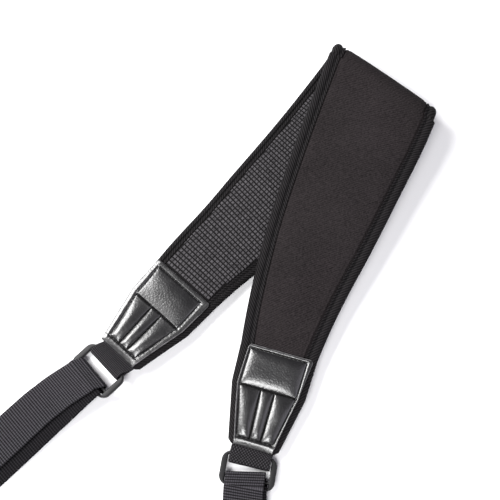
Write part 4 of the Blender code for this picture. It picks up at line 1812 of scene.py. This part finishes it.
@dataclass
class EndLine:
    """Places of the tab, buckle, webbing and clasp at one end of the pad."""

    shape: EndShape
    leg: Leg
    pad: PadSizes
    sizes: LacingSizes = LacingSizes()

    def __post_init__(self) -> None:
        """Works out the buckle's place, and rolls the leg's end with it."""
        sizes, fit = self.sizes, self.pad.fit
        self.seat = self.leg.station(self.leg.length)
        self.bar_height = sizes.thick + fit + sizes.buckle_thickness / 2 + fit
        self.lap = fit + sizes.thick / 2
        self.near_bar = self.shape.gap + sizes.bar / 2
        self.slot_near = sizes.fold_room + 2 * (sizes.thick + fit)
        self.slot_far = sizes.far_slot_room + sizes.thick
        self.middle_bar = sizes.bar + self.slot_near
        self.far_bar = self.middle_bar + sizes.bar + self.slot_far
        self.buckle_length = 3 * sizes.bar + self.slot_near + self.slot_far
        self.mouth = Vector((self.seat.centre.x, self.seat.centre.y, 0.0))
        self.origin = self.mouth - plan(self.shape.tab) * self.near_bar
        self.bar_across = plan(self.shape.buckle - 90.0)
        self.leg.lacing = self

    def rolled(self, point: Vector) -> Vector:
        """The point after this end has been rolled on its long side, and lifted to clear the table.

        Args:
            point: A point of the flat end.

        Returns:
            The rolled point.
        """
        sizes, shape = self.sizes, self.shape
        reach = -(point - self.origin).dot(plan(shape.buckle))
        top = -self.near_bar - self.pad.patch_length
        share = sizes.mouth_roll * eased((reach - top) / self.pad.patch_length)
        share += (1.0 - sizes.mouth_roll) * eased((reach + self.near_bar) / shape.gap)
        share -= eased((reach - self.far_bar - sizes.bar) / sizes.roll_release)
        angle = radians(shape.roll) * share
        aside = (point - self.origin).dot(self.bar_across)
        turned = self.bar_across * cos(angle) + UP * sin(angle)
        raised = UP * cos(angle) - self.bar_across * sin(angle)
        flat = point - self.bar_across * aside - UP * point.z
        lift = sin(abs(angle)) * sizes.tab_width / 2
        return flat + turned * aside + raised * point.z + UP * lift

    def corner(self, bar: float, side: int, level: int, sense: int, skew: float = 0.0, slack: float = 0.0,
               layer: float = 0.0, shift: float = 0.0) -> Turn:
        """Turn round one corner of a bar's section.

        Args:
            bar: Reach of the bar.
            side: -1 for the near side and 1 for the far side.
            level: -1 for the lower corner and 1 for the upper.
            sense: 1 where the line bends left and -1 where it bends right.
            skew: Degrees that the webbing lies askew there.
            slack: Looseness of the fold.
            layer: Thickness of the layers beneath.
            shift: Sideways shift of the webbing.

        Returns:
            The turn.
        """
        sizes = self.sizes
        inset = sizes.bar / 2 - sizes.bar_round
        rise = sizes.buckle_thickness / 2 - sizes.bar_round
        radius = sizes.bar_round + self.lap + layer
        return Turn(bar + side * (inset + slack), self.bar_height + level * rise, radius, sense, skew, shift)

    def belt(self, turns: Sequence[Turn]) -> list[tuple[float, float, float, float]]:
        """Finds the taut line that passes each turn.

        Args:
            turns: The turns in order.

        Returns:
            Points as reach, height, skew and shift.
        """
        directions = []
        for one, two in zip(turns, turns[1:]):
            gap = (two.reach - one.reach, two.height - one.height)
            offset = (two.sense * two.radius - one.sense * one.radius) / hypot(*gap)
            directions.append(atan2(gap[1], gap[0]) - asin(offset))
        points = []
        for index, turn in enumerate(turns):
            start = directions[max(index - 1, 0)]
            finish = directions[min(index, len(directions) - 1)]
            angle = (finish - start) * turn.sense % (2 * pi)
            if turn.radius == 0.0 or angle > self.sizes.most_bend:
                angle = 0.0
            steps = max(1, ceil(angle / self.sizes.bend_step)) if angle > self.sizes.least_bend else 0
            for step in range(steps + 1):
                a = start + turn.sense * angle * (step / steps if steps else 0.0)
                reach = turn.reach + turn.sense * turn.radius * sin(a)
                height = turn.height - turn.sense * turn.radius * cos(a)
                points.append((reach, height, turn.skew, turn.shift))
        return points

    @staticmethod
    def resampled(points: Sequence[tuple[float, ...]], pitch: float) -> list[tuple[float, ...]]:
        """Spaces points evenly along a line.

        Args:
            points: The line, whose first two values are a place in the plane.
            pitch: Distance between the new points.

        Returns:
            The new points.
        """
        lengths = [0.0]
        for one, two in zip(points, points[1:]):
            lengths.append(lengths[-1] + hypot(two[0] - one[0], two[1] - one[1]))
        found = []
        index = 0
        for place in evenly(0.0, lengths[-1], pitch):
            while index < len(points) - 2 and lengths[index + 1] < place:
                index += 1
            span = lengths[index + 1] - lengths[index]
            share = (place - lengths[index]) / span if span > 0.0 else 0.0
            found.append(tuple(between(a, b, share) for a, b in zip(points[index], points[index + 1])))
        return found

    def tab_spots(self, pitch: float) -> list[Spot]:
        """The tab's line: out of the patch, round the near bar, and back.

        Args:
            pitch: Distance between spots.

        Returns:
            The spots.
        """
        shape, sizes, fit = self.shape, self.sizes, self.pad.fit
        apart = sizes.thick / 2 + fit / 2
        slope = tan(radians(self.pad.right_slope)) if shape.side is Side.RIGHT else 0.0
        middle = self.pad.end_height
        deep = middle + sizes.tab_seat * slope
        bar = self.near_bar
        turns = [Turn(-sizes.tab_seat, deep + apart, 0.0, -1),
                 Turn(0.0, middle + apart, 0.0, -1),
                 self.corner(bar, -1, 1, -1),
                 self.corner(bar, 1, 1, -1, shape.tab_skew, shape.tab_slack),
                 self.corner(bar, 1, -1, -1, shape.tab_skew, shape.tab_slack),
                 self.corner(bar, -1, -1, -1),
                 Turn(0.0, middle - apart, 0.0, -1),
                 Turn(-sizes.tab_seat, deep - apart, 0.0, -1)]
        inwards = self.seat.along * shape.side.value
        inwards = Vector((inwards.x, inwards.y, 0.0)).normalized()
        spots = []
        for reach, rise, skew, _ in self.resampled(self.belt(turns), pitch):
            if reach <= 0.0:
                spots.append(Spot(self.mouth + inwards * reach + UP * rise, self.seat.across))
                continue
            place = self.mouth - plan(shape.tab) * min(reach, bar) - plan(shape.buckle) * max(reach - bar, 0.0)
            turned = clamped(reach / bar)
            across = self.seat.across.lerp(plan(shape.buckle - 90.0 + skew), eased(turned))
            spots.append(Spot(place + UP * rise, across.normalized()))
        return spots

    def webbing_turns(self) -> list[Turn]:
        """Lists the long webbing's turns.

        Returns:
            The turns from its free end round the middle bar and out to the clasp.
        """
        shape, sizes, fit = self.shape, self.sizes, self.pad.fit
        thick = sizes.thick
        tail_height = thick / 2 + sizes.floor_gap
        main_height = tail_height + thick + fit
        lift = thick + fit
        landing = self.far_bar + sizes.landing
        rise = sizes.clasp_thickness / 2 - sizes.clasp_round
        radius = sizes.clasp_round + self.lap
        inset = sizes.clasp_bar / 2 - sizes.clasp_round
        height = thick + sizes.floor_gap + fit + sizes.clasp_thickness / 2
        middle, far, reach = self.middle_bar, self.far_bar, sizes.main_reach
        fold, crossing, under, skew, slack = shape.fold, shape.crossing, shape.under, shape.skew, shape.slack
        return [Turn(sizes.tail_reach, tail_height, 0.0, 1, 0.0, shape.tail),
                Turn(landing, tail_height + sizes.landing_radius, sizes.landing_radius, -1, 0.0, shape.tail),
                self.corner(far, 1, 1, 1, shift=under),
                self.corner(far, -1, 1, 1, shift=under),
                self.corner(middle, 1, -1, -1, shift=under),
                self.corner(middle, -1, -1, -1, skew, slack, shift=fold),
                self.corner(middle, -1, 1, -1, skew, slack, shift=fold),
                self.corner(far, -1, 1, -1, skew, layer=lift, shift=crossing),
                self.corner(far, 1, 1, -1, layer=lift, shift=crossing),
                Turn(landing, main_height + sizes.landing_radius, sizes.landing_radius, 1, 0.0, shape.main),
                Turn(reach - sizes.hem, main_height, 0.0, 1, 0.0, shape.main),
                Turn(reach - inset, height + rise, radius, -1, 0.0, shape.main),
                Turn(reach + inset, height + rise, radius, -1, 0.0, shape.main),
                Turn(reach + inset, height - rise, radius, -1, 0.0, shape.main),
                Turn(reach - sizes.hem, tail_height, 0.0, -1, 0.0, shape.main)]

    def webbing_heading(self, reach: float) -> float:
        """Direction of the webbing in the table's plane; it turns just past the buckle."""
        settled = eased((reach - self.far_bar) / self.sizes.landing)
        return between(self.shape.buckle, self.shape.webbing, settled)

    def place(self, reach: float) -> Vector:
        """Follows the webbing's line in the table's plane.

        Args:
            reach: Distance from the near bar.

        Returns:
            The point there.
        """
        steps = max(1, ceil(reach / self.sizes.place_step))
        here = self.origin.copy()
        for step in range(steps):
            here = here - plan(self.webbing_heading(reach * (step + 0.5) / steps)) * (reach / steps)
        return here

    def webbing_spots(self, pitch: float) -> list[Spot]:
        """The long webbing's line in space.

        Args:
            pitch: Distance between spots.

        Returns:
            The spots.
        """
        spots = []
        line = self.resampled(self.belt(self.webbing_turns()), pitch)
        span = round(self.sizes.easing / pitch)
        for index, (reach, rise, skew, shift) in enumerate(line):
            around = [aside for *_, aside in line[max(index - span, 0):index + span + 1]]
            free = eased((reach - self.far_bar - self.sizes.bar) / self.sizes.easing)
            shift += free * (sum(around) / len(around) - shift)
            across = plan(self.webbing_heading(reach) - 90.0 + skew)
            sideways = plan(self.webbing_heading(reach) - 90.0) * shift
            spots.append(Spot(self.place(reach) + sideways + UP * rise, across))
        return spots


@dataclass
class Ribbon:
    """A length of webbing with rounded selvages, ribbed unless it is woven in diamonds."""

    name: str
    node: str
    end: EndLine
    spots: Sequence[Spot]
    width: float
    weave: Weave
    finish: Finish
    back: Finish
    rib: float
    rib_depth: float = 0.28 * MM
    selvage: float = 1.6 * MM
    selvage_share: float = 0.45
    columns: int = 14
    crease: float = 70.0

    @property
    def asides(self) -> list[float]:
        """Places of the points across the webbing, closer together at the selvages."""
        return [self.width / 2 * share for share in fanned(self.columns)]

    def ring(self, index: int, along: float) -> list[Vector]:
        """Section of the webbing at a spot.

        Args:
            index: Number of the spot.
            along: Length of webbing up to it.

        Returns:
            Its points in order.
        """
        spots = self.spots
        spot = spots[index]
        before = spots[max(index - 1, 0)].centre
        after = spots[min(index + 1, len(spots) - 1)].centre
        out = (after - before).normalized().cross(spot.across).normalized()
        half = self.end.sizes.thick / 2
        groove = 0.0
        if self.weave is not Weave.DIAMONDS:
            groove = self.rib_depth * (0.5 - 0.5 * sin(2 * pi * along / self.rib)) ** 2
        pairs = []
        for aside in self.asides:
            edge = clamped((self.width / 2 - abs(aside)) / self.selvage)
            bulge = between(self.selvage_share, 1.0, sqrt(1.0 - (1.0 - edge) ** 2))
            pairs.append((aside, half * bulge - groove * edge))
        pairs += [(aside, -height) for aside, height in reversed(pairs)]
        return [self.end.rolled(spot.centre + spot.across * aside + out * height) for aside, height in pairs]

    def build(self) -> Piece:
        """Builds and dresses the webbing.

        Returns:
            The piece.
        """
        maker = MeshMaker()
        alongs = walked([spot.centre for spot in self.spots])
        rows = [maker.add(self.ring(index, along)) for index, along in enumerate(alongs)]
        across = [*self.asides, *reversed(self.asides), self.asides[0]]
        maker.grid(rows, [across] * len(rows), alongs, wrapped=True,
                   slot=lambda row, column: int(column > self.columns))
        for end in (0, -1):
            maker.cap(rows[end], across, alongs[end])
        return dress(maker.build(self.name, [self.finish, self.back], self.crease), self.finish, self.node)


# Hard pieces

PLASTIC_CREASE = 40.0


@dataclass
class FrameRing:
    """Moulded frame between two outlines with rounded corners."""

    width: float
    length: float
    corner: float
    inner_width: float
    inner_length: float
    inner_corner: float
    centre: float
    thickness: float
    rounding: float
    corner_steps: int = 12
    section_steps: int = 4

    @staticmethod
    def rounded(half_width: float, half_height: float, radius: float, steps: int) -> list[Pair]:
        """Points of a rectangle with round corners.

        Args:
            half_width: Half of its first side.
            half_height: Half of its second side.
            radius: Radius of its corners.
            steps: Pieces of each corner.

        Returns:
            The points, anticlockwise.
        """
        points = []
        for corner, (sx, sy) in enumerate(((1, 1), (-1, 1), (-1, -1), (1, -1))):
            for step in range(steps + 1):
                angle = pi / 2 * (corner + step / steps)
                points.append((sx * (half_width - radius) + radius * cos(angle),
                               sy * (half_height - radius) + radius * sin(angle)))
        return points

    def add(self, maker: MeshMaker, place: Callable[[float, float, float], Vector]) -> None:
        """Adds the frame to a mesh.

        Args:
            maker: Where it goes.
            place: Gives the point in space for a point of the flat frame.
        """
        outer = self.rounded(self.width / 2, self.length / 2, self.corner, self.corner_steps)
        inner = self.rounded(self.inner_width / 2, self.inner_length / 2, self.inner_corner, self.corner_steps)
        rows, acrosses, alongs = [], [], [0.0]
        for index, (out_point, in_point) in enumerate(zip(outer, inner)):
            middle = ((out_point[0] + in_point[0]) / 2, (out_point[1] + in_point[1]) / 2 + self.centre)
            gap = hypot(out_point[0] - in_point[0], out_point[1] - in_point[1])
            direction = ((out_point[0] - in_point[0]) / gap, (out_point[1] - in_point[1]) / gap)
            section = self.rounded(gap / 2, self.thickness / 2, self.rounding, self.section_steps)
            rows.append(maker.add([place(middle[0] + direction[0] * x, middle[1] + direction[1] * x, z)
                                   for x, z in section]))
            acrosses.append([float(step) * MM for step in range(len(section) + 1)])
            following = outer[(index + 1) % len(outer)]
            alongs.append(alongs[-1] + hypot(following[0] - out_point[0], following[1] - out_point[1]))
        maker.grid(rows, acrosses, alongs, wrapped=True, looped=True)


def joined(keep: Piece, extra: Piece) -> Piece:
    """Joins two solids into one skin.

    Args:
        keep: The solid that stays.
        extra: The solid that is used up.

    Returns:
        The joined solid.
    """
    modifier = keep.modifiers.new("joined", "BOOLEAN")
    modifier.operation = "UNION"
    modifier.object = extra
    graph = bpy.context.evaluated_depsgraph_get()
    mesh = bpy.data.meshes.new_from_object(keep.evaluated_get(graph))
    keep.modifiers.clear()
    keep.data = mesh
    bpy.data.objects.remove(extra, do_unlink=True)
    return keep


@dataclass
class SlideBuckle:
    """Slide buckle with three bars and two slots."""

    end: EndLine
    finish: Finish = SatinPlastic()
    bar_sink: float = 0.15 * MM
    bar_steps: int = 4

    def build(self) -> Piece:
        """Builds and dresses the buckle.

        Returns:
            The piece.
        """
        end, sizes = self.end, self.end.sizes
        outward = -plan(end.shape.buckle)

        def place(x: float, y: float, z: float) -> Vector:
            """Point in space of a point of the flat buckle."""
            return end.rolled(end.origin + end.bar_across * x + outward * y + UP * (z + end.bar_height))

        ring = MeshMaker()
        FrameRing(sizes.buckle_width, end.buckle_length, sizes.buckle_corner, sizes.slot_width,
                  end.buckle_length - 2 * sizes.bar, sizes.slot_corner, end.buckle_length / 2 - sizes.bar / 2,
                  sizes.buckle_thickness, sizes.bar_round).add(ring, place)
        name = "slide_frame_" + end.shape.name
        frame = ring.build(name, [self.finish], PLASTIC_CREASE)
        reach = sizes.slot_width / 2 + sizes.side_bar / 2
        section = FrameRing.rounded(sizes.bar / 2, sizes.buckle_thickness / 2 - self.bar_sink, sizes.bar_round,
                                    self.bar_steps)
        rings = [[place(x, end.middle_bar + y, z) for y, z in section] for x in (-reach, 0.0, reach)]
        bar = MeshMaker()
        bar.tube(rings, [-reach, 0.0, reach])
        piece = joined(frame, bar.build(name + "_bar", [self.finish], PLASTIC_CREASE))
        return dress(piece, self.finish, "slide_buckle_" + end.shape.name)


@dataclass
class EndClasp:
    """Plain clasp: a loop for the webbing and a closed eye beyond it."""

    end: EndLine
    finish: Finish = SatinPlastic()

    def build(self) -> Piece:
        """Builds and dresses the clasp.

        Returns:
            The piece.
        """
        end, sizes = self.end, self.end.sizes
        heading = end.webbing_heading(sizes.main_reach)
        across = plan(heading - 90.0)
        height = sizes.thick + sizes.floor_gap + end.pad.fit + sizes.clasp_thickness / 2
        origin = end.place(sizes.main_reach) + across * end.shape.main + UP * height
        total = sizes.loop_length + sizes.eye_length - sizes.clasp_overlap
        droop = asin((height - sizes.clasp_thickness / 2 - sizes.floor_gap) / total)
        outward = -plan(heading) * cos(droop) - UP * sin(droop)
        normal = UP * cos(droop) - plan(heading) * sin(droop)

        def place(x: float, y: float, z: float) -> Vector:
            """Point in space of a point of the flat clasp."""
            return origin + across * x + outward * y + normal * z

        name = "end_clasp_" + end.shape.name
        loop_centre = sizes.loop_length / 2 - sizes.clasp_bar / 2
        eye_centre = sizes.loop_length - sizes.clasp_bar / 2 - sizes.clasp_overlap + sizes.eye_length / 2
        solids = []
        for width, length, centre, corner in ((sizes.clasp_width, sizes.loop_length, loop_centre, sizes.loop_corner),
                                              (sizes.eye_width, sizes.eye_length, eye_centre, sizes.eye_corner)):
            maker = MeshMaker()
            FrameRing(width, length, corner, width - 2 * sizes.clasp_bar, length - 2 * sizes.clasp_bar,
                      max(corner - sizes.clasp_bar, sizes.clasp_round), centre, sizes.clasp_thickness,
                      sizes.clasp_round).add(maker, place)
            solids.append(maker.build(name + "_" + str(len(solids)), [self.finish], PLASTIC_CREASE))
        piece = joined(*solids)
        piece.name = name
        return dress(piece, self.finish, "clasp_" + end.shape.name)


# The whole strap


def margins(top: float, groove: float, end: float) -> Rows:
    """Returns distances from the pad's edge, in millimetres, at the patch's top, its groove and its end."""
    return (0.0, top * MM), (GROOVE_SHARE, groove * MM), (1.0, end * MM)


GROOVE_SHARE = 0.42
LEFT_PATCH = PatchPlan(
    cut_low=margins(0.7, 0.7, 0.9), cut_high=margins(3.4, 3.3, 3.2),
    frame_low=margins(4.1, 4.8, 4.2), frame_high=margins(8.6, 7.0, 6.2), top_margin=3.3 * MM,
    bare_low=1.0, bare_high=0.0, panel=Swell(crest=0.42, rise=0.9, fall=2.4),
    ribs=Swell(crest=0.6, rise=0.9, fall=3.0), lean=0.5)
RIGHT_PATCH = PatchPlan(
    cut_low=margins(5.2, 3.5, 3.5), cut_high=margins(2.2, 4.2, 3.3),
    frame_low=margins(6.5, 4.9, 4.8), frame_high=margins(5.5, 5.5, 4.9), top_margin=2.2 * MM,
    bare_low=GROOVE_SHARE, bare_high=GROOVE_SHARE, panel=Swell(crest=0.25, rise=0.7, fall=5.0),
    ribs=Swell(crest=0.5, rise=0.7, fall=6.0), lean=0.0)


@dataclass
class Strap:
    """The folded strap."""

    pad: PadSizes = PadSizes()
    lower_headings: Rows = ((0.06, 53.6), (0.28, 47.0), (0.53, 43.0), (0.76, 48.4))
    upper_headings: Rows = ((0.06, 67.6), (0.28, 66.6), (0.53, 68.0), (0.76, 74.2))
    lower_tapers: Rows = ((0.0, 0.0), (0.21, 0.08), (0.42, 0.26), (0.61, 0.50), (0.79, 0.80), (1.0, 1.0))
    upper_tapers: Rows = ((0.0, 0.0), (0.21, 0.07), (0.42, 0.23), (0.61, 0.42), (0.79, 0.69), (1.0, 1.0))
    lower_length: float = 245.5 * MM
    upper_length: float = 250.0 * MM
    left: EndShape = EndShape(
        Side.LEFT, gap=5.9 * MM, tab=28.0, buckle=43.5, webbing=43.2, tab_slack=2.1 * MM, tab_skew=1.0,
        slack=0.6 * MM, skew=-1.5, fold=-0.8 * MM, crossing=-3.1 * MM, main=-9.3 * MM, under=0.8 * MM,
        tail=-1.2 * MM, roll=10.0, tab_weave=Weave.RIBS, patch=LEFT_PATCH)
    right: EndShape = EndShape(
        Side.RIGHT, gap=3.0 * MM, tab=75.0, buckle=80.0, webbing=90.0, tab_slack=3.9 * MM, tab_skew=-3.0,
        slack=1.6 * MM, skew=8.0, fold=-1.0 * MM, crossing=-1.0 * MM, main=1.4 * MM, under=0.9 * MM,
        tail=4.7 * MM, roll=0.0, tab_weave=Weave.DIAMONDS, patch=RIGHT_PATCH)
    rib: float = 1.55 * MM
    fine_rib: float = 1.0 * MM
    diamond: float = 1.9 * MM
    rings_per_rib: int = 5
    tab_colour: Colour = (0.0128, 0.0121, 0.0133)
    back_colour: Colour = (0.0046, 0.0043, 0.0050)

    def __post_init__(self) -> None:
        """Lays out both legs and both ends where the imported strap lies."""
        self.start = Vector((0.0, 0.0, 0.0))
        self.lay_out()
        self.start = self.find_start()
        self.lay_out()

    def lay_out(self) -> None:
        """Walks both legs from the start and places what hangs on their ends."""
        self.line = PadLine(
            Leg(Side.LEFT, self.lower_length, self.lower_headings, self.lower_tapers, self.start, self.pad),
            Leg(Side.RIGHT, self.upper_length, self.upper_headings, self.upper_tapers, self.start, self.pad))
        self.ends = (EndLine(self.left, self.line.lower, self.pad), EndLine(self.right, self.line.upper, self.pad))

    def find_start(self) -> Vector:
        """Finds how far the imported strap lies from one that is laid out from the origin.

        Returns:
            The middle of the fold in plan.
        """
        low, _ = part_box("edge_binding_left")
        tape = EdgeTape("", "", -1, self.line, self.pad, narrowing=0.0, end_round=0.0)
        points = [point for place in self.line.places(0.0, tape.pitch) for point in tape.ring(place)]
        return Vector((low.x - min(p.x for p in points), low.y - min(p.y for p in points), 0.0))

    def build(self) -> list[Piece]:
        """Builds every piece.

        Returns:
            The pieces.
        """
        pieces = [FoamCore(self.line, self.pad).build(), GripFace(self.line, self.pad).build()]
        for word, sign in (("left", -1), ("right", 1)):
            pieces += EdgeTape("edge_tape_" + word, "edge_binding_" + word, sign, self.line, self.pad).build()
        for end in self.ends:
            pieces += self.build_end(end)
        return pieces

    def build_end(self, end: EndLine) -> list[Piece]:
        """Builds the leather, tab, webbing, buckle and clasp of one end.

        Args:
            end: Places of its pieces.

        Returns:
            The pieces.
        """
        shape, word = end.shape, end.shape.name
        pieces = []
        for face in Face:
            label = face.name.lower() + "_" + word
            patch = LeatherPatch("leather_" + label, "leather_patch_" + label, end.leg, face, shape.patch, self.pad)
            pieces += patch.build()
        tab_rib = self.diamond if shape.tab_weave is Weave.DIAMONDS else self.fine_rib
        tab_finish = WovenWebbing(name="tab_webbing_" + word, weave=shape.tab_weave, rib=tab_rib,
                                  colour=self.tab_colour)
        pieces.append(Ribbon("tab_loop_" + word, "webbing_tab_" + word, end,
                             end.tab_spots(self.fine_rib / self.rings_per_rib), end.sizes.tab_width,
                             shape.tab_weave, tab_finish, tab_finish, self.fine_rib).build())
        pieces.append(Ribbon("laced_webbing_" + word, "long_webbing_" + word, end,
                             end.webbing_spots(self.rib / self.rings_per_rib), end.sizes.webbing_width,
                             Weave.RIBS, WovenWebbing(rib=self.rib),
                             WovenWebbing(name="webbing_back", rib=self.rib, colour=self.back_colour),
                             self.rib).build())
        return pieces + [SlideBuckle(end).build(), EndClasp(end).build()]


@dataclass(frozen=True)
class Softbox:
    """Rectangular light that hangs over the table and points at its middle."""

    name: str
    place: tuple[float, float, float]
    size: Pair
    power: float
    colour: Colour

    def build(self) -> None:
        """Hangs the light."""
        data = bpy.data.lights.new(self.name, "AREA")
        data.shape = "RECTANGLE"
        data.size, data.size_y = self.size
        data.energy = self.power
        data.color = self.colour
        lamp = bpy.data.objects.new(self.name, data)
        lamp.location = self.place
        lamp.rotation_euler = (-Vector(self.place)).to_track_quat("-Z", "Y").to_euler()
        bpy.context.scene.collection.objects.link(lamp)


@dataclass
class Studio:
    """Pale table, soft light and the camera."""

    elevation: float = 76.0
    distance: float = 0.520
    metres_per_pixel: float = 0.000625
    sensor: float = 36.0
    frame_pixels: float = 500.0
    nearest: float = 10 * MM
    apex_in_view: Pair = (0.085265, 0.109396)
    table_size: float = 3.0
    sky: float = 0.17
    sky_colour: Colour = (0.945, 0.915, 1.0)
    lights: tuple[Softbox, ...] = (
        Softbox("key", place=(-0.70, 0.40, 0.76), size=(0.66, 0.66), power=24.0, colour=(1.0, 0.995, 0.99)),
        Softbox("front", place=(-0.18, -0.45, 0.90), size=(0.48, 0.30), power=9.0, colour=(1.0, 1.0, 1.0)),
        Softbox("fill", place=(0.95, -0.15, 0.55), size=(1.0, 1.0), power=3.4, colour=(0.93, 0.90, 1.0)))

    def camera(self, apex: Vector) -> None:
        """Adds the camera.

        Args:
            apex: Where the middle of the fold lies in plan.
        """
        target = Vector((apex.x - self.apex_in_view[0], apex.y - self.apex_in_view[1], 0.0))
        tilt = radians(self.elevation)
        data = bpy.data.cameras.new("camera")
        data.sensor_width = self.sensor
        data.lens = self.sensor * self.distance / self.metres_per_pixel / self.frame_pixels
        data.clip_start = self.nearest
        camera = bpy.data.objects.new("camera", data)
        camera.location = target + Vector((0.0, -cos(tilt), sin(tilt))) * self.distance
        camera.rotation_euler = (pi / 2 - tilt, 0.0, 0.0)
        bpy.context.scene.collection.objects.link(camera)
        bpy.context.scene.camera = camera

    def table(self) -> None:
        """Adds the table."""
        maker = MeshMaker()
        half = self.table_size / 2
        corners = [(-half, -half), (half, -half), (half, half), (-half, half)]
        maker.face(maker.add([Vector((x, y, 0.0)) for x, y in corners]), corners)
        maker.build("table", [PaleTable()])

    def build(self, apex: Vector) -> None:
        """Adds table, lights and camera.

        Args:
            apex: Where the middle of the fold lies in plan.
        """
        self.table()
        self.camera(apex)
        world = bpy.data.worlds.new("studio")
        bpy.context.scene.world = world
        tree = ShaderTree(world)
        sky = tree.node("ShaderNodeBackground", {}, {"Color": self.sky_colour, "Strength": self.sky})
        tree.node("ShaderNodeOutputWorld", {}, {"Surface": tree.out(sky)})
        bpy.context.scene.view_settings.view_transform = "Standard"
        for light in self.lights:
            light.build()


def main() -> None:
    """Dresses the strap and sets up its studio."""
    logging.basicConfig(level=logging.INFO, format="%(message)s")
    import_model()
    strap = Strap()
    for piece in strap.build():
        LOG.info("%s: %d faces", piece.name, len(piece.data.polygons))
    Studio().build(strap.start)
    bpy.context.view_layer.update()
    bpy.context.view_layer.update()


if __name__ == "__main__":
    main()
